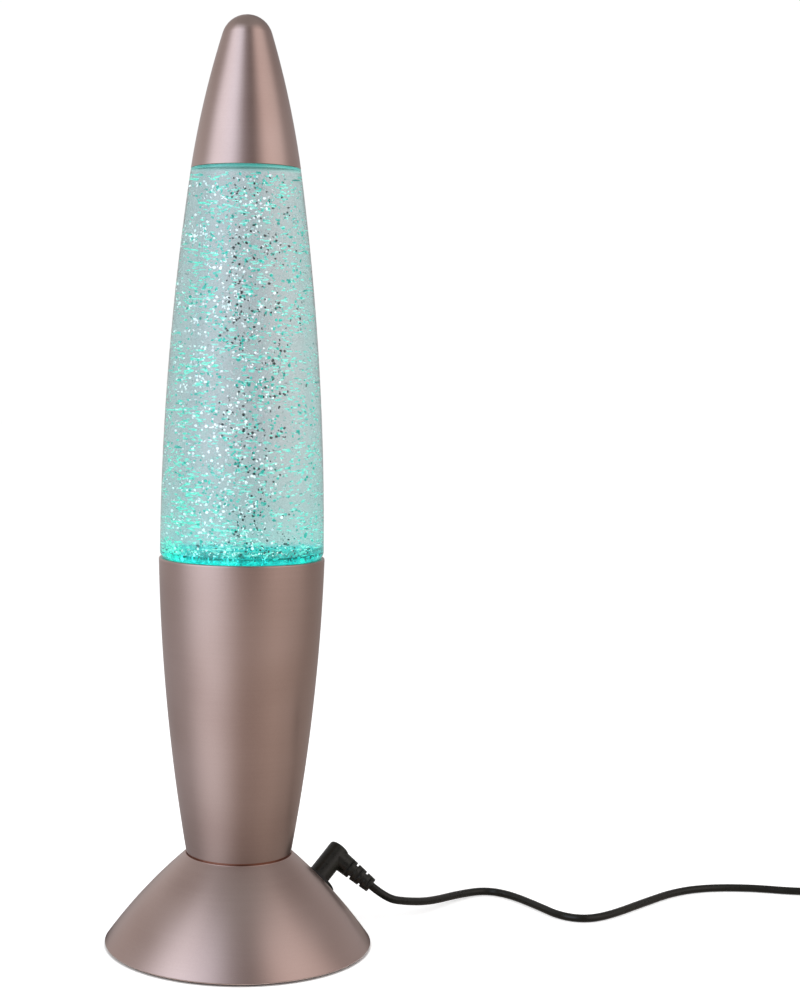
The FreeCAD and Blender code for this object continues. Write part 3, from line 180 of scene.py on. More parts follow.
materials = {
    "lacquer": lacquerMaterial(),
    "plugBlack": blackMouldingMaterial("plugSoftVinyl", [(0.5, "#0E0E0B"), (1.1, "#23231D")], 0.27),
    "cordBlack": blackMouldingMaterial("cordVinylSheath", [(0.5, "#0C0C09"), (1.1, "#1B1B15")], 0.28),
    "jackBlack": blackMouldingMaterial("jackNylon", [(0.5, "#121212"), (1.1, "#1E1E1D")], 0.5),
    "plateBlack": blackMouldingMaterial("plateMouldedAbs", [(0.5, "#1D1D1D"), (1.1, "#292929")], 0.55),
    "padRubber": plainMaterial("padRubber", "#232323", "#303030", 1.5 * mm, 0.2, Roughness=0.85),
    "zinc": plainMaterial("zincPlatedSteel", "#9DA1A6", "#C2C5C9", 1.2 * mm, Metallic=1.0, Roughness=0.34),
    "nickel": plainMaterial("nickelPlate", "#C9C5BC", "#DAD7CF", 2.0 * mm, 0.02, Metallic=1.0, Roughness=0.2),
    "iron": plainMaterial("castIron", "#3A3A3B", "#565657", 1.6 * mm, 0.4, Metallic=0.8, Roughness=0.7),
    "whitePlastic": plainMaterial("naturalNylon", "#DEDDD7", "#ECEBE6", 5 * mm, Roughness=0.4, IOR=1.5),
    "board": plainMaterial("whiteSolderMask", "#E6E9E6", "#F3F5F2", 4 * mm, 0.03, Roughness=0.3),
    "chip": plainMaterial("chipEpoxy", "#1A1A1B", "#262627", 0.6 * mm, 0.1, Roughness=0.6),
    "redWire": plainMaterial("redVinylWire", "#A3201C", "#B92A24", 3 * mm, Roughness=0.4),
    "seal": plainMaterial("siliconeSeal", "#D9DAD6", "#E6E7E3", 2 * mm, 0.1, Roughness=0.5),
    # a light chip under power, which the eye sees as plain teal
    "led": newMaterial("litLightChip", Roughness=0.35, Base_Color=colour("#D8F2E6"),
                       Emission_Color=colour("#35E6D2"), Emission_Strength=3.0)[0],
    # clear acrylic, a little green in its depth
    "window": newMaterial("clearWindow", Roughness=0.03, IOR=1.49, Transmission_Weight=1.0,
                          Base_Color=colour("#F2FAF9"))[0],
}
print("plain materials made:", len(materials))


# objects and outlines turned round the lamp's axis

def placed(name, data):
    piece = bpy.data.objects.new(name, data)
    bpy.context.collection.objects.link(piece)
    return piece


def plainMesh(piece):
    # the mesh that a piece's modifiers or its curve make
    bpy.context.view_layer.update()
    return bpy.data.meshes.new_from_object(piece.evaluated_get(bpy.context.evaluated_depsgraph_get()))


def around(angle, radius=1.0, height=0.0):
    return Vector((radius * math.cos(angle), radius * math.sin(angle), height))


def ringFaces(rings, sides, ends=True):
    # the faces between rings of points, and one on either end
    faces = []
    for ring in range(rings - 1):
        for number in range(sides):
            after = (number + 1) % sides
            faces.append([ring * sides + number, ring * sides + after,
                          (ring + 1) * sides + after, (ring + 1) * sides + number])
    if ends:
        faces.append(list(range(sides))[::-1])
        faces.append([(rings - 1) * sides + number for number in range(sides)])
    return faces


def traced(corners, spacing=1.2):
    # the corners of a closed half section in mm, with each arc (a third number, its height) drawn as points
    points = []
    for start, end in zip(corners, corners[1:] + corners[:1]):
        points.append(Vector((start[0], start[1])))
        if len(start) < 3:
            continue
        a, b, rise = Vector(start[:2]), Vector(end[:2]), start[2]
        chord = b - a
        radius = (chord.length ** 2 / 4 + rise ** 2) / (2 * abs(rise))
        side = Vector((chord.y, -chord.x)).normalized() * (1 if rise > 0 else -1)
        centre = (a + b) / 2 + side * (abs(rise) - radius)
        first, last = a - centre, b - centre
        turn = math.atan2(first.x * last.y - first.y * last.x, first.dot(last))
        steps = max(2, math.ceil(max(abs(turn) / math.radians(9), abs(turn) * radius / spacing / 4)))
        marks = [step / steps for step in range(1, steps)]
        if steps > 6:
            marks = [0.04 / steps, *marks, 1 - 0.04 / steps]    # holds the shading straight up to the edge
        for mark in marks:
            angle = turn * mark
            points.append(centre + Vector((first.x * math.cos(angle) - first.y * math.sin(angle),
                                           first.x * math.sin(angle) + first.y * math.cos(angle))))
    return points


def meshObject(name, points, faces, material, sharp=32):
    mesh = bpy.data.meshes.new(name)
    mesh.from_pydata([tuple(point) for point in points], [], faces)
    mesh.validate()
    work = bmesh.new()
    work.from_mesh(mesh)
    bmesh.ops.remove_doubles(work, verts=work.verts, dist=1e-7)
    bmesh.ops.recalc_face_normals(work, faces=work.faces)
    if work.calc_volume(signed=True) < 0:
        bmesh.ops.reverse_faces(work, faces=work.faces)
    work.to_mesh(mesh)
    work.free()
    mesh.shade_smooth()
    mesh.set_sharp_from_angle(angle=math.radians(sharp))
    mesh.materials.append(material)
    return placed(name, mesh)


def spun(name, corners, material, segments=160, frameMatrix=None):
    # a closed solid turned from a half section; frameMatrix carries its own axis to another one
    rings, points, faces = [], [], []
    for corner in traced(corners):
        if corner.x < 1e-6:
            rings.append([len(points)] * segments)
            points.append(Vector((0, 0, corner.y * mm)))
            continue
        rings.append(list(range(len(points), len(points) + segments)))
        points += [around(2 * math.pi * number / segments, corner.x, corner.y) * mm
                   for number in range(segments)]
    for low, high in zip(rings, rings[1:] + rings[:1]):
        for number in range(segments):
            after = (number + 1) % segments
            face = []
            for index in (low[number], low[after], high[after], high[number]):
                if index not in face:
                    face.append(index)
            if len(face) > 2:
                faces.append(face)
    if frameMatrix:
        points = [frameMatrix @ point for point in points]
    return meshObject(name, points, faces, material)


lampSizes = {   # mm, the same values as the source's, so every shell lies on its CAD solid
    "footLift": 0.8, "footRadius": 54.9, "footTopRadius": 21.9, "jointZ": 38.2, "footWall": 2.7,
    "footBulge": 1.39, "footHole": 12.0, "footFloor": 2.2, "bossOuter": 11.85, "bossInner": 9.45,
    "bodyBottomRadius": 21.75, "rimZ": 160.5, "rimRadius": 33.8, "bodyBulge": 2.24, "bodyWall": 1.8,
    "bodyHole": 7.0, "bodyFloor": 2.8, "socketRadius": 31.2, "carrierZ": 130.0, "ledgeRadius": 25.4,
    "bottleRadius": 33.4, "bottleTopRadius": 22.1, "capEdgeZ": 317.0, "bottleBulge": 2.65, "bottleWall": 2.0,
    "spigotRadius": 30.85, "spigotZ": 146.5, "floorZ": 149.1,
    "neckRadius": 12.3, "neckZ": 326.4, "neckTop": 337.9, "collarTop": 320.4,
    "topZ": 378.0, "capWall": 1.4, "tipRadius": 10.4, "tipSlope": 17.0,
}
s = lampSizes


def roundRise(size):
    # the height of a quarter round's arc
    return 0.2929 * size


# cone foot, with a soft lower lip and the same lacquer as the other shells
footSlope = (s["footRadius"] - s["footTopRadius"]) / (s["jointZ"] - s["footLift"])
footInnerTop = s["footTopRadius"] + s["footFloor"] * footSlope - s["footWall"]
foot = spun("footShell", [
    (s["footRadius"] - s["footWall"], s["footLift"]),
    (s["footRadius"] - 0.6, s["footLift"], roundRise(0.6)),
    (s["footRadius"], s["footLift"] + 0.6, s["footBulge"]),
    (s["footTopRadius"] + 0.15, s["jointZ"] - 0.17, 0.05),
    (s["footTopRadius"] - 0.1, s["jointZ"]),
    (s["footHole"], s["jointZ"]),
    (s["footHole"], s["jointZ"] - s["footFloor"]),
    (footInnerTop, s["jointZ"] - s["footFloor"], -s["footBulge"]),
], materials["lacquer"])

# tapered body with its shadow gap, rounded rim and straight socket
body = spun("bodyShell", [
    (s["bossInner"], s["jointZ"] - s["bodyWall"]),
    (s["bossOuter"], s["jointZ"] - s["bodyWall"]),
    (s["bossOuter"], s["jointZ"]),
    (s["bodyBottomRadius"] - 0.6, s["jointZ"]),
    (s["bodyBottomRadius"] - 0.6, s["jointZ"] + 0.6),
    (s["bodyBottomRadius"] - 0.2, s["jointZ"] + 0.6, 0.05),
    (s["bodyBottomRadius"], s["jointZ"] + 0.85, s["bodyBulge"]),
    (s["rimRadius"], s["rimZ"] - 0.6, roundRise(0.6)),
    (s["rimRadius"] - 0.6, s["rimZ"]),
    (s["socketRadius"] + 0.25, s["rimZ"], roundRise(0.25)),
    (s["socketRadius"], s["rimZ"] - 0.25),
    (s["socketRadius"], s["carrierZ"]),
    (s["ledgeRadius"], s["carrierZ"]),
    (s["ledgeRadius"], s["carrierZ"] - 3.2),
    (29.0, s["carrierZ"] - 6.4, -1.57),
    (s["bodyBottomRadius"] - s["bodyWall"], s["jointZ"] + s["bodyFloor"]),
    (s["bodyHole"], s["jointZ"] + s["bodyFloor"]),
    (s["bodyHole"], s["jointZ"]),
    (s["bossInner"], s["jointZ"]),
], materials["lacquer"])

# pointed cap: one shell whose side runs into its round tip
tipZ = s["topZ"] - s["tipRadius"]
slope = math.radians(s["tipSlope"])


def capSide(edge, radius):
    # where the side's arc meets the tip, and the arc's height
    meet = Vector((radius * math.cos(slope), tipZ + radius * math.sin(slope)))
    lean = math.atan2(edge - meet.x, meet.y - s["capEdgeZ"])
    length = math.hypot(edge - meet.x, meet.y - s["capEdgeZ"])
    return meet, length / 2 * math.tan((slope - lean) / 2)


tipRise = 1 - math.cos((math.pi / 2 - slope) / 2)
outerMeet, outerRise = capSide(s["bottleTopRadius"], s["tipRadius"])
innerMeet, innerRise = capSide(s["bottleTopRadius"] - s["capWall"], s["tipRadius"] - s["capWall"])
cap = spun("pointedCap", [
    (s["bottleTopRadius"] - s["capWall"], s["capEdgeZ"]),
    (s["bottleTopRadius"] - 0.3, s["capEdgeZ"], roundRise(0.3)),
    (s["bottleTopRadius"], s["capEdgeZ"] + 0.3, outerRise),
    (outerMeet.x, outerMeet.y, s["tipRadius"] * tipRise),
    (0, s["topZ"]),
    (0, s["topZ"] - s["capWall"], -(s["tipRadius"] - s["capWall"]) * tipRise),
    (innerMeet.x, innerMeet.y, -innerRise),
], materials["lacquer"])
print("three lacquered shells turned")


# bottle, liquid and flakes

def bottleMaterial():
    # clear blown bottle whose wall carries the light up: a painted teal glow and tint at its foot and at its
    # edge under the cap
    material, tree, shader = newMaterial("clearBottleWall", Roughness=0.02, IOR=1.45, Transmission_Weight=1.0)
    height = placeParts(tree)["Z"]
    share = rangeOf(tree, height, 160 * mm, 320 * mm)
    tree.links.new(ramp(tree, share, [
        (0.0, "#9FE9DC"), (0.010, "#C9F5EE"), (0.020, "#F4FBFB"), (0.970, "#F4FBFB"), (0.980, "#C4ECE8")]),
        shader.inputs["Base Color"])
    paintedWallGlow = ramp(tree, share, [(0.0, "#4ACBC0"), (0.008, "#27A199"), (0.016, "#000000"), (0.974, "#000000"),
                              (0.979, "#0E4F49"), (1.0, "#3D9790")])
    tree.links.new(paintedWallGlow, shader.inputs["Emission Color"])
    strength = rangeOf(tree, height, 158 * mm, 160.4 * mm, 0.03, 0.35)
    tree.links.new(strength, shader.inputs["Emission Strength"])
    return material


def liquidMaterial():
    # water greyed by dust from the flakes, with painted light: soft upright bands of painted light and shade
    # across it, and a teal pool at its foot, painted light that stands in for the lights filling it
    material, tree, shader = newMaterial("greyedLiquid", Roughness=0.0, IOR=1.34, Transmission_Weight=1.0)
    spot = placeParts(tree)
    radius = rangeOf(tree, spot["Z"], s["rimZ"] * mm, s["capEdgeZ"] * mm,
                     s["bottleRadius"] * mm, s["bottleTopRadius"] * mm)
    drift = noiseAt(tree, objectPoint(tree, (1, 1, 0.5)), 18 * mm, 2.0)
    across = blended(tree, rangeOf(tree, worked(tree, "DIVIDE", spot["X"], radius), -1.0, 1.0), drift, 0.06)
    # painted light and shade: lighter and darker upright bands across the bottle, from left to right
    paintedLightBands = ramp(tree, across, [
        (0.02, "#9CC4C1"), (0.12, "#B0C3C4"), (0.20, "#A6B6BA"), (0.30, "#C2C8CE"), (0.47, "#BDC1C6"),
        (0.60, "#B8BBBF"), (0.76, "#C9C7C8"), (0.90, "#C4CDCD"), (1.03, "#AED2CE")], "EASE")
    fine = noiseAt(tree, objectPoint(tree), 3.5 * mm, 3.0, 0.6)
    dustedLightBands = mixedColours(tree, rangeOf(tree, fine, 0.55, 0.75, 0.0, 0.5), paintedLightBands, colour("#A6D3CE"))
    patches = noiseAt(tree, objectPoint(tree, (1, 1, 1.6)), 4.2 * mm, 4.0, 0.6)
    # a painted pool of teal light at the liquid's foot
    paintedLightPool = ramp(tree, patches, [(0.38, "#01969A"), (0.50, "#04BEBE"), (0.66, "#36DAD5")])
    wavyHeight = blended(tree, spot["Z"], drift, 2 * mm)
    # painted glow: the colour turns teal towards the foot, where the lights shine in
    paintedGlowShare = rangeOf(tree, wavyHeight, 216 * mm, 164 * mm, 0.0, 0.3, True)
    paintedLowGlow = mixedColours(tree, paintedGlowShare, dustedLightBands, colour("#6CBFB8"))
    low = rangeOf(tree, wavyHeight, 166.4 * mm, 163.8 * mm, smooth=True)
    tree.links.new(mixedColours(tree, low, paintedLowGlow, paintedLightPool), shader.inputs["Base Color"])
    # painted glow: teal light near the foot and a pale line under the cap
    paintedRisingGlow = ramp(tree, rangeOf(tree, wavyHeight, 160 * mm, 320 * mm), [
        (0.04, "#1A8F8B"), (0.14, "#154B49"), (0.35, "#061717"), (0.972, "#030A0A"), (0.976, "#0D4540"),
        (0.979, "#84CCC6"), (0.984, "#26827A"), (0.994, "#98D2CC")])
    tree.links.new(mixedColours(tree, low, paintedRisingGlow, paintedLightPool), shader.inputs["Emission Color"])
    strength = rangeOf(tree, spot["Z"], 157 * mm, 160.4 * mm, 0.06, 0.24)
    tree.links.new(strength, shader.inputs["Emission Strength"])
    return material


materials["bottle"] = bottleMaterial()
materials["liquid"] = liquidMaterial()
bottle = spun("bottleWall", [
    (0, s["spigotZ"]),
    (s["spigotRadius"] - 1.2, s["spigotZ"], roundRise(1.2)),
    (s["spigotRadius"], s["spigotZ"] + 1.2),
    (s["spigotRadius"], s["rimZ"]),
    (s["bottleRadius"] - 1.5, s["rimZ"], 0.42),
    (s["bottleRadius"], s["rimZ"] + 2.8, s["bottleBulge"]),
    (s["bottleTopRadius"], s["capEdgeZ"]),
    (20.2, s["capEdgeZ"]),
    (19.4, s["collarTop"]),
    (s["neckRadius"], s["neckZ"]),
    (s["neckRadius"], s["neckTop"]),
    (s["neckRadius"] - s["bottleWall"], s["neckTop"]),
    (s["neckRadius"] - s["bottleWall"], s["neckZ"] - 0.8),
    (17.4, s["collarTop"] - 1.2),
    (18.2, s["capEdgeZ"] - 0.2),
    (s["bottleTopRadius"] - s["bottleWall"], s["capEdgeZ"] - 1.1, -s["bottleBulge"] * 0.97),
    (s["bottleRadius"] - s["bottleWall"], s["rimZ"] + 2.8),
    (s["spigotRadius"] - s["bottleWall"], s["rimZ"] - 1.2),
    (s["spigotRadius"] - s["bottleWall"], s["floorZ"]),
    (1.03, s["floorZ"]),
    (1.03, s["floorZ"] - 1.6),
    (0, s["floorZ"] - 1.6),
], materials["bottle"])
wetWall = 1.94    # a little less than the wall, so that the liquid wets the glass and no air gap shows
liquid = spun("liquidBody", [
    (16.2, s["floorZ"] + 0.1),
    (s["spigotRadius"] - wetWall, s["floorZ"] + 0.1),
    (s["spigotRadius"] - wetWall, s["rimZ"] - 1.2),
    (s["bottleRadius"] - wetWall, s["rimZ"] + 2.8, s["bottleBulge"] * 0.97),
    (s["bottleTopRadius"] - wetWall, s["capEdgeZ"] - 1.1),
    (18.26, s["capEdgeZ"] - 0.2),
    (17.46, s["collarTop"] - 1.2),
    (s["neckRadius"] - wetWall, s["neckZ"] - 0.8),
    (s["neckRadius"] - wetWall, s["neckTop"] - 7),
    (0, s["neckTop"] - 7),
    (0, s["floorZ"] + 8.6),
    (16.2, s["floorZ"] + 8.6),
], materials["liquid"])
print("bottle and liquid turned")


def flakeTree():
    # points spread through the bottle's inside, some dropped by a noise so that they drift in clouds, and a
    # thin hexagon on each, turned at random or along the swirl
    tree = bpy.data.node_groups.new("flakesInLiquid", "GeometryNodeTree")
    sockets = {"Count": "Int", "Seed": "Int", "Finish": "Material"}
    for name in ("Flake Radius", "Thickness", "Low", "High", "Wide Radius", "Narrow Radius", "Bulge",
                 "Turn Low", "Turn High", "Core", "Cloud Size", "Cloud Cut", "Sinking", "Streak"):
        sockets[name] = "Float"
    for name, kind in sockets.items():
        tree.interface.new_socket(name=name, in_out="INPUT", socket_type="NodeSocket" + kind)
    tree.interface.new_socket(name="Geometry", in_out="OUTPUT", socket_type="NodeSocketGeometry")
    given = addNode(tree, "NodeGroupInput").outputs
    result = addNode(tree, "NodeGroupOutput")

    def summed(operation, *values):
        return worked(tree, operation, *values)

    def chance(low, high, extra):
        seed = summed("ADD", given["Seed"], float(extra))
        return addNode(tree, "FunctionNodeRandomValue", {"data_type": "FLOAT"},
                       {2: low, 3: high, 8: seed}).outputs[1]

    def vectorOf(x, y, z):
        return addNode(tree, "ShaderNodeCombineXYZ", None, {"X": x, "Y": y, "Z": z}).outputs["Vector"]

    up = summed("POWER", chance(0.0, 1.0, 11), given["Sinking"])
    height = rangeOf(tree, up, 0.0, 1.0, given["Low"], given["High"])
    share = rangeOf(tree, height, 161.7 * mm, 313.5 * mm)
    straightRadius = rangeOf(tree, share, 0.0, 1.0, given["Wide Radius"], given["Narrow Radius"])
    swell = summed("MULTIPLY", summed("MULTIPLY", share, summed("SUBTRACT", 1.0, share)),
                   summed("MULTIPLY", given["Bulge"], 4.0))
    out = summed("MULTIPLY", summed("ADD", straightRadius, swell),
                 summed("SQRT", chance(given["Core"], 1.0, 23), 0.0))
    angle = chance(given["Turn Low"], given["Turn High"], 37)
    place = vectorOf(summed("MULTIPLY", out, summed("COSINE", angle, 0.0)),
                     summed("MULTIPLY", out, summed("SINE", angle, 0.0)), height)
    points = addNode(tree, "GeometryNodePoints", None,
                     {"Count": given["Count"], "Position": place}).outputs[0]
    here = addNode(tree, "GeometryNodeInputPosition").outputs[0]
    cloud = addNode(tree, "ShaderNodeTexNoise", None, {
        "Vector": here, "Scale": summed("DIVIDE", 1.0, given["Cloud Size"]), "Detail": 2.0}).outputs["Fac"]
    dropped = addNode(tree, "GeometryNodeDeleteGeometry", {"domain": "POINT"}, {
        "Geometry": points, "Selection": summed("LESS_THAN", cloud, given["Cloud Cut"])}).outputs[0]
    hexagon = addNode(tree, "GeometryNodeMeshCylinder", None, {
        "Vertices": 6, "Radius": given["Flake Radius"], "Depth": given["Thickness"]}).outputs["Mesh"]
    tumbled = addNode(tree, "FunctionNodeRandomValue", {"data_type": "FLOAT_VECTOR"}, {
        0: (-3.1, -3.1, -3.1), 1: (3.1, 3.1, 3.1), 8: given["Seed"]}).outputs[0]
    spot = addNode(tree, "ShaderNodeSeparateXYZ", None, {"Vector": here}).outputs
    swept = vectorOf(chance(1.25, 1.9, 61), chance(-0.12, 0.12, 67),
                     summed("ADD", summed("ARCTAN2", spot["Y"], spot["X"]), math.pi / 2))
    turn = addNode(tree, "ShaderNodeMix", {"data_type": "VECTOR"},
                   {0: given["Streak"], 4: tumbled, 5: swept}).outputs[1]
    size = chance(0.5, 1.1, 51)
    longer = vectorOf(summed("MULTIPLY", size, summed("MULTIPLY_ADD", given["Streak"], 1.5, 1.0)),
                      summed("MULTIPLY", size, summed("MULTIPLY_ADD", given["Streak"], -0.35, 1.0)), 1.0)
    flakes = addNode(tree, "GeometryNodeInstanceOnPoints", None, {
        "Points": dropped, "Instance": hexagon, "Rotation": turn, "Scale": longer}).outputs[0]
    real = addNode(tree, "GeometryNodeRealizeInstances", None, {"Geometry": flakes}).outputs[0]
    finished = addNode(tree, "GeometryNodeSetMaterial", None, {"Geometry": real, "Material": given["Finish"]})
    tree.links.new(finished.outputs[0], result.inputs[0])
    return tree


flakesByRule = flakeTree()


def madeByTree(name, tree, inputs):
    # an object whose mesh the tree makes, turned into a plain mesh
    holder = placed(name + "Maker", bpy.data.meshes.new(name + "Maker"))
    modifier = holder.modifiers.new("rule", "NODES")
    modifier.node_group = tree
    sockets = [item for item in tree.interface.items_tree if item.in_out == "INPUT"]
    identifiers = {item.name: item.identifier for item in sockets}
    for key, setting in inputs.items():
        modifier[identifiers[key]] = setting
    mesh = plainMesh(holder)
    mesh.name = name
    bpy.data.objects.remove(holder)
    return placed(name, mesh)


def flakeMaterial(name, base, paintedGlows, strength, metallic=1.0, rough=0.3):
    # metallised polyester glitter: flat mirrors, each with a painted glow that stands in for its share of the
    # teal light or of the room
    material, tree, shader = newMaterial(name, Metallic=metallic, Roughness=rough, Base_Color=colour(base),
                                         Emission_Strength=strength)
    share = noiseAt(tree, objectPoint(tree), 1.6 * mm, 1.0)
    tree.links.new(ramp(tree, share, [(0.38, paintedGlows[0]), (0.62, paintedGlows[1])]), shader.inputs["Emission Color"])
    return material


# each finish gives its flakes a painted glow for the teal light and the sparkle of the room; the dark kinds
# are painted shade
flakeKinds = {   # how many before some are dropped, how wide in mm, finish, and where they gather
    "flakesTeal": dict(
        count=3000, width=1.4, low=162, high=314, seed=3, cut=0.58, cloud=9, turn=(-2.8, -0.2),
        finish=("tealLitFlake", "#04AE9F", ("#009088", "#14D6C2"), 1.05, 0.3)),
    "flakesTealLoose": dict(
        count=1000, width=1.15, low=162, high=314, seed=7, cut=0.42, cloud=20,
        finish=("tealLooseFlake", "#45C4B8", ("#1BA9A0", "#86F5E6"), 0.75)),
    "flakesSweptLeft": dict(
        count=2300, width=1.1, low=161.5, high=314, seed=11, cut=0.53, cloud=11, turn=(-4.1, -2.2),
        streak=1.0, core=0.4, sinking=2.2, finish=("sweptMintFlake", "#6FE4D0", ("#2FC9B2", "#8FFFE2"), 1.0)),
    "flakesSweptRight": dict(
        count=1150, width=1.05, low=161.5, high=314, seed=19, cut=0.53, cloud=12, turn=(-1.0, 0.9),
        streak=1.0, core=0.4, sinking=1.5, finish=("sweptPaleFlake", "#7FDCCF", ("#45C9B8", "#A8FFEE"), 0.9)),
    "flakesSwept": dict(
        count=2500, width=1.1, low=161.5, high=314, seed=13, cut=0.52, cloud=11, turn=(-3.3, 0.2), streak=1.0,
        sinking=1.25, finish=("sweptPalerFlake", "#8FE4D6", ("#49CDB9", "#BFFFF2"), 0.85)),
    "flakesPale": dict(
        count=2400, width=0.95, low=162, high=314, seed=17, cut=0.48, cloud=13,
        finish=("paleGreyFlake", "#C3D6D8", ("#A9C4C6", "#E6F6F6"), 0.5)),
    "flakesWhite": dict(
        count=2000, width=1.15, low=162, high=313, seed=29, cut=0.51, cloud=12, turn=(-3.6, -0.9),
        sinking=1.15, finish=("whiteSparkFlake", "#FFFFFF", ("#E2DEEC", "#FFFFFF"), 1.1)),
    "flakesDark": dict(
        count=1200, width=1.1, low=163, high=312, seed=41, cut=0.52, cloud=14, turn=(-1.95, -0.5),
        finish=("shadowedFlake", "#1A3233", ("#050B0B", "#12302E"), 0.15, 0.2, 0.5)),
    "flakesSettled": dict(
        count=480, width=1.1, low=160.2, high=164.6, seed=53, cut=0.4, cloud=5,
        finish=("deepTealFlake", "#0AB8B2", ("#029A9C", "#48E6DE"), 0.8)),
    "flakesSettledDark": dict(
        count=110, width=1.0, low=161.2, high=165.0, seed=59, cut=0.4, cloud=6,
        finish=("settledDarkFlake", "#0A5759", ("#033B3D", "#0A6264"), 0.3, 0.2, 0.5)),
    "flakesSettledWhite": dict(
        count=150, width=0.9, low=160.6, high=165.5, seed=61, cut=0.45, cloud=6,
        finish=("settledWhiteFlake", "#FFFFFF", ("#BFFBF6", "#FFFFFF"), 1.0)),
}
flakePieces = []
for name, kind in flakeKinds.items():
    turn = kind.get("turn", (-math.pi, math.pi))
    piece = madeByTree(name, flakesByRule, {
        "Count": kind["count"], "Seed": kind["seed"], "Finish": flakeMaterial(*kind["finish"]),
        "Flake Radius": kind["width"] / 2 * mm, "Thickness": 0.1 * mm,
        "Low": kind["low"] * mm, "High": kind["high"] * mm,
        "Wide Radius": 30.2 * mm, "Narrow Radius": 19.0 * mm, "Bulge": 2.4 * mm,
        "Turn Low": turn[0], "Turn High": turn[1], "Core": kind.get("core", 0.0),
        "Cloud Size": kind["cloud"] * mm, "Cloud Cut": kind["cut"],
        "Sinking": kind.get("sinking", 1.0), "Streak": kind.get("streak", 0.0)})
    flakePieces.append(piece)
    print(name, len(piece.data.polygons), "faces")


# plug: moulded head and elbow, slotted strain relief

plugSizes = {   # mm, in the jack's own frame: its origin on the cone's wall, Z out of it, X along the arm
    "azimuth": 34.95, "height": 19.77, "armTurn": -37.2, "proud": 1.0, "depth": 12.0, "gap": 0.15,
    "holeRadius": 5.5, "seatRadius": 9.1, "headRadius": 4.7, "headRound": 1.2, "top": 17.8, "armDrop": 4.45,
    "armLength": 20.1, "rootRadius": 4.5, "neckRadius": 4.1, "endRadius": 3.2, "neck": 7.45, "slot": 0.85,
    "step": 2.58, "web": 1.9, "slots": 5,
}
p = plugSizes


def jackFrame():
    # the jack's frame, worked out from the cone's arc as the source does
    low = Vector((s["footRadius"], s["footLift"] + 0.6))
    high = Vector((s["footTopRadius"], s["jointZ"]))
    chord = high - low
    radius = (chord.length ** 2 / 4 + s["footBulge"] ** 2) / (2 * s["footBulge"])
    outward = Vector((chord.y, -chord.x)).normalized()
    centre = (low + high) / 2 + outward * (s["footBulge"] - radius)
    rise = p["height"] - centre.y
    wall = centre.x + math.sqrt(radius ** 2 - rise ** 2)
    azimuth = math.radians(p["azimuth"])
    radial = around(azimuth)
    sideways = Vector((-math.sin(azimuth), math.cos(azimuth), 0))
    axis = (radial * (wall - centre.x) + Vector((0, 0, rise))).normalized()
    downhill = axis.cross(sideways)
    if downhill.z > 0:
        downhill.negate()
    turn = math.radians(p["armTurn"])
    arm = downhill * math.cos(turn) + sideways * math.sin(turn)
    place = (radial * wall + Vector((0, 0, p["height"]))) * mm
    turned = Matrix((arm, axis.cross(arm), axis)).transposed().to_4x4()
    return Matrix.Translation(place) @ turned, place, centre, radius


jackMatrix, jackPlace, wallCentre, wallRadius = jackFrame()


def cutForJack(shell):
    # cuts the jack's hole and its flange's seat into the foot, and keeps the shading of the wall beside them
    cutter = spun("jackCutter", [
        (0, -p["depth"]),
        (p["holeRadius"], -p["depth"]),
        (p["holeRadius"], -p["proud"]),
        (p["seatRadius"], -p["proud"]),
        (p["seatRadius"], p["depth"]),
        (0, p["depth"]),
    ], materials["lacquer"], 64, jackMatrix)
    cut = shell.modifiers.new("jackHole", "BOOLEAN")
    cut.operation = "DIFFERENCE"
    cut.solver = "EXACT"
    cut.object = cutter
    mesh = plainMesh(shell)
    shell.modifiers.clear()
    shell.data = mesh
    bpy.data.objects.remove(cutter)
    reach, slack, alike = 16, 0.02, 0.98    # mm from the jack, mm off the wall, cosine to its normal
    normals = []
    for polygon in mesh.polygons:
        for index in polygon.vertices:
            spot = mesh.vertices[index].co / mm
            section = Vector((spot.xy.length - wallCentre.x, spot.z - wallCentre.y))
            true = ((spot.xy.normalized() * section.x).to_3d() + Vector((0, 0, section.y))).normalized()
            onWall = abs(section.length - wallRadius) < slack and true.dot(polygon.normal) > alike
            near = (spot - jackPlace / mm).length < reach
            normals.append(true if onWall and near else Vector((0, 0, 0)))
    mesh.normals_split_custom_set(normals)


cutForJack(foot)
armMatrix = jackMatrix @ Matrix.Translation((0, 0, (p["top"] - p["armDrop"]) * mm)) @ Matrix.Rotation(
    math.radians(90), 4, "Y")   # turns the piece's own Z onto the arm
plugBase = p["proud"] + p["gap"]

headPart = spun("plugHeadPart", [
    (0, plugBase),
    (p["headRadius"] - 0.25, plugBase, roundRise(0.25)),
    (p["headRadius"], plugBase + 0.25),
    (p["headRadius"], p["top"] - p["headRound"], roundRise(p["headRound"])),
    (p["headRadius"] - p["headRound"], p["top"] - 0.02, 0.01),
    (0, p["top"]),
], materials["plugBlack"], 64, jackMatrix)
elbowPart = spun("plugElbowPart", [
    (0, -3.0),
    (3.3, -3.0, 0.5),
    (p["rootRadius"], 0),
    (p["neckRadius"], p["neck"] - 0.02),
    (0, p["neck"] - 0.02),
], materials["plugBlack"], 64, armMatrix)


def moulded(name, pieces, voxel, smoothing, material):
    # fuses pieces into one moulding with a soft fillet where they meet
    work = bmesh.new()
    for piece in pieces:
        work.from_mesh(piece.data)
        bpy.data.objects.remove(piece)
    mesh = bpy.data.meshes.new(name)
    work.to_mesh(mesh)
    work.free()
    fused = placed(name, mesh)
    skin = fused.modifiers.new("skin", "REMESH")
    skin.mode = "VOXEL"
    skin.voxel_size = voxel
    soft = fused.modifiers.new("soft", "SMOOTH")
    soft.factor = 0.5
    soft.iterations = smoothing
    final = plainMesh(fused)
    fused.modifiers.clear()
    fused.data = final
    final.materials.clear()
    final.materials.append(material)
    final.shade_smooth()
    return fused


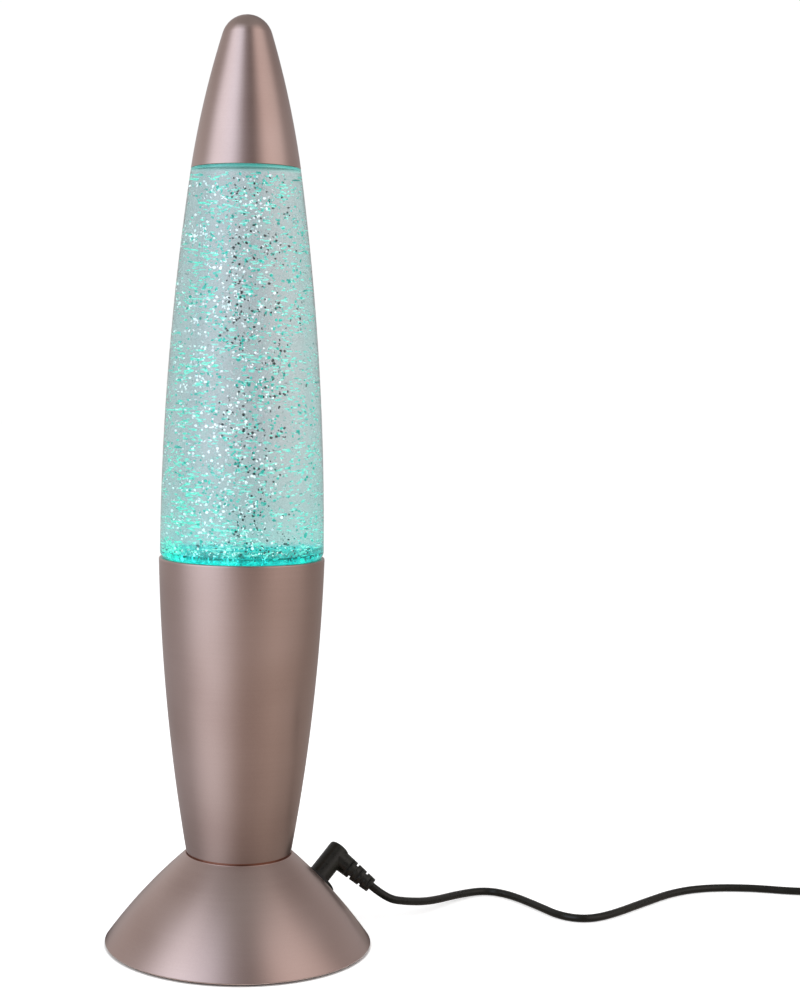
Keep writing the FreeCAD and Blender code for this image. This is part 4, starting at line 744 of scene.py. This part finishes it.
plugHead = moulded("plugHead", [headPart, elbowPart], 0.18 * mm, 5, materials["plugBlack"])


def slotLimit(distance, angle):
    # how far the relief reaches at one distance along the arm: a slot leaves only the web between its halves
    number = math.floor((distance - p["neck"]) / p["step"])
    if number >= p["slots"] or distance - p["neck"] - number * p["step"] >= p["slot"]:
        return 99.0
    across = abs(math.sin(angle)) if number % 2 == 0 else abs(math.cos(angle))
    return p["web"] / max(across, 0.02)


def slottedRelief():
    # a cone cut by slots from two sides at a time, and rounded a little where each rib ends
    stations = []
    for number in range(p["slots"]):
        slot = p["neck"] + number * p["step"]
        rib = slot + p["slot"]
        after = p["armLength"] if number == p["slots"] - 1 else slot + p["step"]
        stations += [(slot + 0.001, 0), (rib - 0.001, 0), (rib, 0.16), (rib + 0.07, 0.04), (rib + 0.18, 0)]
        stations += [(after - 0.18, 0), (after - 0.07, 0.04), (after, 0.16)]
    points, sides = [], 96
    for distance, drawnIn in stations:
        share = (distance - p["neck"]) / (p["armLength"] - p["neck"])
        outer = p["neckRadius"] + (p["endRadius"] - p["neckRadius"]) * share - drawnIn
        for number in range(sides):
            angle = 2 * math.pi * number / sides
            reach = min(outer, slotLimit(distance, angle))
            points.append(armMatrix @ (around(angle, reach, distance) * mm))
    return meshObject("plugStrainRelief", points, ringFaces(len(stations), sides), materials["plugBlack"])


plugRelief = slottedRelief()
print("plug moulded")


# cord: one smooth line from the plug to the coil and the far plug

cordSizes = {   # mm
    "diameter": 3.4, "rest": 0.05, "coilRadius": 25.6, "coilGap": 0.45, "loops": 3, "tailDrop": 20.0,
    "gripHalf": 4.1, "turnPoints": 6,   # control points in a half turn
    "spline": 0.966,   # the quadratic spline's radius, as a share of its points'
}
c = cordSizes
cordZ = c["diameter"] / 2 + c["rest"]
armAxis = (jackMatrix.to_3x3() @ Vector((1, 0, 0))).normalized()
armEnd = (jackMatrix @ Vector((p["armLength"] * mm, 0, (p["top"] - p["armDrop"]) * mm))) / mm
freeRoute = [armEnd + armAxis * 0.02, armEnd + armAxis * 8.5, Vector((71.95, 30.2, 8.2)),
             Vector((83.8, 42.0, 4.6)), Vector((99.4, 60.8, 2.4))]
freeRoute += [Vector((x, y, cordZ)) for x, y in [
    (111.8, 68.7), (122.0, 63.0), (132.1, 46.3), (139.7, 31.4), (150.2, 26.8), (162.2, 33.4), (180.8, 51.6),
    (198.4, 67.9), (215.0, 74.9), (235.0, 75.2), (253.0, 70.2), (269.0, 69.5), (285.0, 69.5)]]


def coilRoute(start):
    # the put-away length: half turns that shrink, one that climbs a layer, and half turns that grow again
    route = []
    pitch = c["diameter"] + c["coilGap"]

    def halfTurn(radius, centre, angle, rise, share=1.0):
        count = round(c["turnPoints"] * share)
        for number in range(count):
            turned = angle - math.pi * share * (number + 0.5) / count
            route.append(centre + around(turned) * (radius / c["spline"])
                         + Vector((0, 0, rise * (number + 0.5) / count)))
        return angle - math.pi * share

    def nextTurn(radius, centre, angle, step, rise=0):
        after = c["coilRadius"] - step * pitch / 2
        centre = centre + around(angle) * (radius - after)
        return after, centre, halfTurn(after, centre, angle, rise)

    radius = c["coilRadius"]
    centre = start + Vector((c["diameter"], -radius, 0))
    angle = halfTurn(radius, centre, math.pi / 2, 0, 0.5)
    for step in range(1, 2 * c["loops"] + 1):
        radius, centre, angle = nextTurn(radius, centre, angle, step)
    radius, centre, angle = nextTurn(radius, centre, angle, 2 * c["loops"] + 1, pitch)
    centre = centre + Vector((0, 0, pitch))
    for step in range(2 * c["loops"], -1, -1):
        radius, centre, angle = nextTurn(radius, centre, angle, step)
    heading = Vector((math.sin(angle), -math.cos(angle), 0))
    return route, centre + around(angle) * radius, heading


turns, coilEnd, coilWay = coilRoute(freeRoute[-1])
coilEnd = coilEnd + coilWay * c["diameter"]
farZ = c["gripHalf"] + c["rest"]
tail = [coilEnd, coilEnd + coilWay * (c["tailDrop"] * 0.34),
        coilEnd + coilWay * (c["tailDrop"] * 0.68) + Vector((0, 0, farZ - coilEnd.z)),
        coilEnd + coilWay * (c["tailDrop"] - 0.02) + Vector((0, 0, farZ - coilEnd.z))]
cordRoute = [point * mm for point in freeRoute + turns + tail]


def smoothLine(name, points):
    # the points that a quadratic NURBS spline of the route runs through
    curve = bpy.data.curves.new(name, "CURVE")
    curve.dimensions = "3D"
    curve.resolution_u = 8
    spline = curve.splines.new("NURBS")
    spline.points.add(len(points) - 1)
    for control, point in zip(spline.points, points):
        control.co = (*point, 1)
    spline.order_u = 3
    spline.use_endpoint_u = True
    holder = placed(name, curve)
    mesh = plainMesh(holder)
    line = [vertex.co.copy() for vertex in mesh.vertices]
    bpy.data.objects.remove(holder)
    bpy.data.meshes.remove(mesh)
    return line


def tubeAlong(name, line, radius, material, sides=20):
    # a closed round tube along a line, carried without twist
    points = []
    last = len(line) - 1
    ways = [(line[min(index + 1, last)] - line[max(index - 1, 0)]).normalized() for index in range(len(line))]
    side = ways[0].orthogonal().normalized()
    for place, way in zip(line, ways):
        side = (side - way * side.dot(way)).normalized()
        other = way.cross(side)
        for number in range(sides):
            angle = 2 * math.pi * number / sides
            points.append(place + (side * math.cos(angle) + other * math.sin(angle)) * radius)
    return meshObject(name, points, ringFaces(len(line), sides), material, 60)


cordLine = smoothLine("cordLine", cordRoute)
cord = tubeAlong("powerCord", cordLine, c["diameter"] / 2 * mm, materials["cordBlack"])


# finishes on the CAD nodes that keep their shape

nodeFinishes = {
    "jackBlack": ["dc_jack"],
    "plateBlack": ["base_plate"],
    "plugBlack": ["usb_grip", "usb_strain_relief"],
    "padRubber": ["rubber_feet"],
    "zinc": ["base_screws", "body_screws", "carrier_screws", "motor_screws", "ballast_bolt", "ballast_nut",
             "motor_can", "motor_shaft", "jack_nut"],
    "nickel": ["plug_barrel", "jack_pin", "usb_shell", "drive_magnets", "stirrer_magnets", "stirrer_spindle"],
    "iron": ["ballast_weight"],
    "whitePlastic": ["carrier_plate", "magnet_disc", "stirrer", "motor_end_cap", "bottle_closure",
                     "usb_tongue"],
    "seal": ["closure_seal"],
    "board": ["led_board"],
    "chip": ["driver_chip"],
    "redWire": ["supply_wire_red", "motor_wires"],
    "cordBlack": ["supply_wire_black"],
    "led": ["leds"],
    "window": ["light_window"],
}
for finish, nodes in nodeFinishes.items():
    for node in nodes:
        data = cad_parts[node].data
        data.materials.clear()
        data.materials.append(materials[finish])
print("finishes set on", sum(len(nodes) for nodes in nodeFinishes.values()), "CAD nodes")

# what rides on what

for piece, rider, nodes, slotName in [
        (foot, "base", ["foot_shell"], "satin_lacquer"),
        (body, "base", ["body_shell"], "satin_lacquer"),
        (cap, "top", ["cap"], "satin_lacquer"),
        (bottle, "vessel", ["bottle"], "clear_wall"),
        (liquid, "vessel", ["liquid"], "glitter_liquid"),
        (plugHead, "connector", ["plug_head"], "black_plastic"),
        (plugRelief, "connector", ["plug_strain_relief"], "black_plastic")]:
    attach(piece, rider)
    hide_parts(*nodes)
for piece in flakePieces:
    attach(piece, "vessel")
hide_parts("glitter_flakes")
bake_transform(cord)
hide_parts("cord_free", "cord_coil", "cord_tail")
print("pieces ride on their bodies")


# studio

def stageMesh(name, points, faces, material):
    mesh = bpy.data.meshes.new(name)
    mesh.from_pydata(points, [], faces)
    mesh.materials.append(material)
    piece = placed(name, mesh)
    return piece


def seenDirectly(tree):
    # 1 for camera, glossy and transmission rays, so that metal and glass show the white background too
    path = addNode(tree, "ShaderNodeLightPath").outputs
    either = worked(tree, "MAXIMUM", path["Is Camera Ray"], path["Is Glossy Ray"])
    return worked(tree, "MAXIMUM", either, path["Is Transmission Ray"])


def floorMaterial():
    # matt white paper: it glows where it is seen directly, so it reads white and still takes a soft shadow,
    # with a painted shadow under the lamp's foot
    material, tree, shader = newMaterial("whitePaper", Roughness=0.9, Base_Color=colour("#E4E4E4"),
                                         Emission_Color=(0.54, 0.54, 0.54, 1))
    away = awayFromAxis(tree, placeParts(tree))
    clear = rangeOf(tree, away, 54.6 * mm, 55.6 * mm)    # painted shadow: the paper's glow stops under the lamp's foot, where no light gets
    tree.links.new(worked(tree, "MULTIPLY", seenDirectly(tree), clear), shader.inputs["Emission Strength"])
    return material


half = 6    # metres from the lamp to the floor's edge
stageMesh("paperFloor", [(-half, -half, 0), (half, -half, 0), (half, half, 0), (-half, half, 0)],
          [(0, 1, 2, 3)], floorMaterial())

world = bpy.data.worlds.new("studioWorld")
bpy.context.scene.world = world
world.use_nodes = True
worldTree = world.node_tree
worldTree.links.new(rangeOf(worldTree, seenDirectly(worldTree), 0.0, 1.0, 0.55, 1.02),
                    worldTree.nodes["Background"].inputs["Strength"])
worldTree.nodes["Background"].inputs["Color"].default_value = (1, 1, 1, 1)

studio = {   # the room that only the gloss sees: metres, and brightness at degrees from the camera's side
    "radius": 1.5, "top": 2.7, "middle": 0.18, "clothZ": 0.0006, "clothStart": 0.0555,
    "peak": 1.6, "zenith": 0.33,
    "wall": [(-180, 0.52), (-126, 0.56), (-103, 0.45), (-68, 1.46), (-38, 1.52), (0, 0.26), (14, 0.15),
             (50, 0.84), (78, 0.79), (106, 0.36), (180, 0.39)],
    "high": [(-180, 0.38), (-126, 0.43), (-103, 0.43), (-68, 1.46), (-38, 1.53), (0, 0.25), (14, 0.14),
             (50, 0.84), (78, 0.77), (106, 0.29), (180, 0.24)],
    "cloth": [(-180, 0.34), (-125, 0.35), (-98, 0.40), (-46, 0.86), (10, 0.36), (50, 0.41), (84, 0.34),
              (110, 0.27), (180, 0.30)],
    "wallTints": [(-180, (1.04, 1, 1)), (-100, (1.04, 1, 1)), (-60, (0.90, 1, 1.16)), (-35, (0.89, 1, 1.18)),
                  (8, (1.15, 1, 1)), (60, (1.1, 1, 0.98)), (180, (1.05, 1, 1))],
    "clothTints": [(-180, (1.08, 1, 1)), (-40, (1, 1, 1.05)), (8, (1.16, 1, 0.93)), (60, (1.16, 1, 0.9)),
                   (180, (1.1, 1, 0.95))],
}
u = studio


def tintAt(tints, degrees):
    for (start, first), (stop, second) in zip(tints, tints[1:]):
        if degrees <= stop:
            share = (degrees - start) / (stop - start)
            return [a + (b - a) * share for a, b in zip(first, second)]
    return tints[-1][1]


def roomMaterial(name, levels, highLevels, tints):
    # a broad cool window side on the left, a dim middle and a softer warm side on the right, no hard edge
    material, tree, shader = newMaterial(name, Roughness=1.0, Specular_IOR_Level=0.0, Base_Color=(0, 0, 0, 1))
    spot = placeParts(tree)
    away = awayFromAxis(tree, spot)
    lift = worked(tree, "ARCTAN2", worked(tree, "SUBTRACT", spot["Z"], u["middle"]), away)
    lean = rangeOf(tree, lift, math.radians(30), math.radians(45), 1.0, 1.1, True)
    turn = worked(tree, "ARCTAN2", spot["X"], worked(tree, "MULTIPLY", spot["Y"], -1.0))
    share = rangeOf(tree, worked(tree, "MULTIPLY", turn, lean), -math.pi, math.pi)
    rings = []
    for ring in (levels, highLevels):
        stops = [((degrees + 180) / 360, (*[level / u["peak"] * part for part in tintAt(tints, degrees)], 1))
                 for degrees, level in ring]
        rings.append(ramp(tree, share, stops, "EASE"))
    ringed = mixedColours(tree, rangeOf(tree, lift, math.radians(10), math.radians(32)), *rings)
    over = rangeOf(tree, lift, math.radians(42), math.radians(68), smooth=True)
    zenith = (*[u["zenith"] / u["peak"]] * 3, 1)
    tree.links.new(mixedColours(tree, over, ringed, zenith), shader.inputs["Emission Color"])
    # painted shade: the cloth glows less close to the lamp
    near = rangeOf(tree, away, 0.1, 0.22, 0.84, 1.08)
    shaded = rangeOf(tree, away, 0.056, 0.085, 0.12 * u["peak"], u["peak"], True)   # painted shade beside the foot, where the lamp shades the cloth
    tree.links.new(worked(tree, "MULTIPLY", near, shaded), shader.inputs["Emission Strength"])
    return material


def roomShell(name, profile, material, count=72):
    # a surface turned round the lamp that only reflections see; its profile is in metres
    points = [around(2 * math.pi * number / count, radius, height)
              for radius, height in profile for number in range(count)]
    piece = stageMesh(name, points, ringFaces(len(profile), count, False), material)
    for sight in ("camera", "diffuse", "transmission", "shadow"):
        setattr(piece, "visible_" + sight, False)


roomShell("roomWall", [(u["radius"], 0.0), (u["radius"], u["top"]), (0.01, u["top"] + 0.3)],
          roomMaterial("roomWallGlow", u["wall"], u["high"], u["wallTints"]))
roomShell("roomCloth", [(u["clothStart"], u["clothZ"]), (u["radius"], u["clothZ"])],
          roomMaterial("roomClothGlow", u["cloth"], u["cloth"], u["clothTints"]))


def softBox(name, angle, elevation, power, tint):
    # a square light aimed at the lamp's middle, at degrees from the camera's side
    lamp = bpy.data.lights.new(name, "AREA")
    lamp.shape = "SQUARE"
    lamp.size = 1.1
    lamp.energy = power
    lamp.color = tint
    holder = placed(name, lamp)
    turn, lift = math.radians(angle), math.radians(elevation)
    place = Vector((math.sin(turn) * math.cos(lift), -math.cos(turn) * math.cos(lift), math.sin(lift)))
    place *= u["radius"]
    place += Vector((0, 0, u["middle"]))
    holder.location = place
    holder.rotation_euler = (Vector((0, 0, u["middle"])) - place).to_track_quat("-Z", "Y").to_euler()
    for sight in ("camera", "glossy", "transmission"):
        setattr(holder, "visible_" + sight, False)


softBox("leftKey", -48, 38, 14, (0.97, 0.99, 1.0))
softBox("rightFill", 52, 34, 8, (1.0, 0.97, 0.95))

cameraSizes = {   # metres, degrees and, for the last four, pixels
    "place": (0.0, -0.73089, 0.24036), "yaw": 1.266, "pitch": 4.41, "roll": 0.708,
    "focal": 1800.0, "middle": 282.11, "width": 800, "height": 1000,
}
yaw, pitch, roll = (math.radians(cameraSizes[name]) for name in ("yaw", "pitch", "roll"))
ahead = Vector((math.sin(yaw) * math.cos(pitch), math.cos(yaw) * math.cos(pitch), -math.sin(pitch)))
level = Vector((math.cos(yaw), -math.sin(yaw), 0))
above = level.cross(ahead)
right = level * math.cos(roll) + above * math.sin(roll)
top = above * math.cos(roll) - level * math.sin(roll)
lens = bpy.data.cameras.new("photoCamera")
lens.sensor_width = 36
lens.lens = lens.sensor_width * cameraSizes["focal"] / cameraSizes["height"]
lens.shift_x = (cameraSizes["width"] / 2 - cameraSizes["middle"]) / cameraSizes["height"]
camera = placed("photoCamera", lens)
aim = Matrix((right, top, -ahead)).transposed().to_4x4()
camera.matrix_world = Matrix.Translation(cameraSizes["place"]) @ aim
bpy.context.scene.camera = camera
bpy.context.scene.view_settings.view_transform = "Standard"
print("studio and camera set")
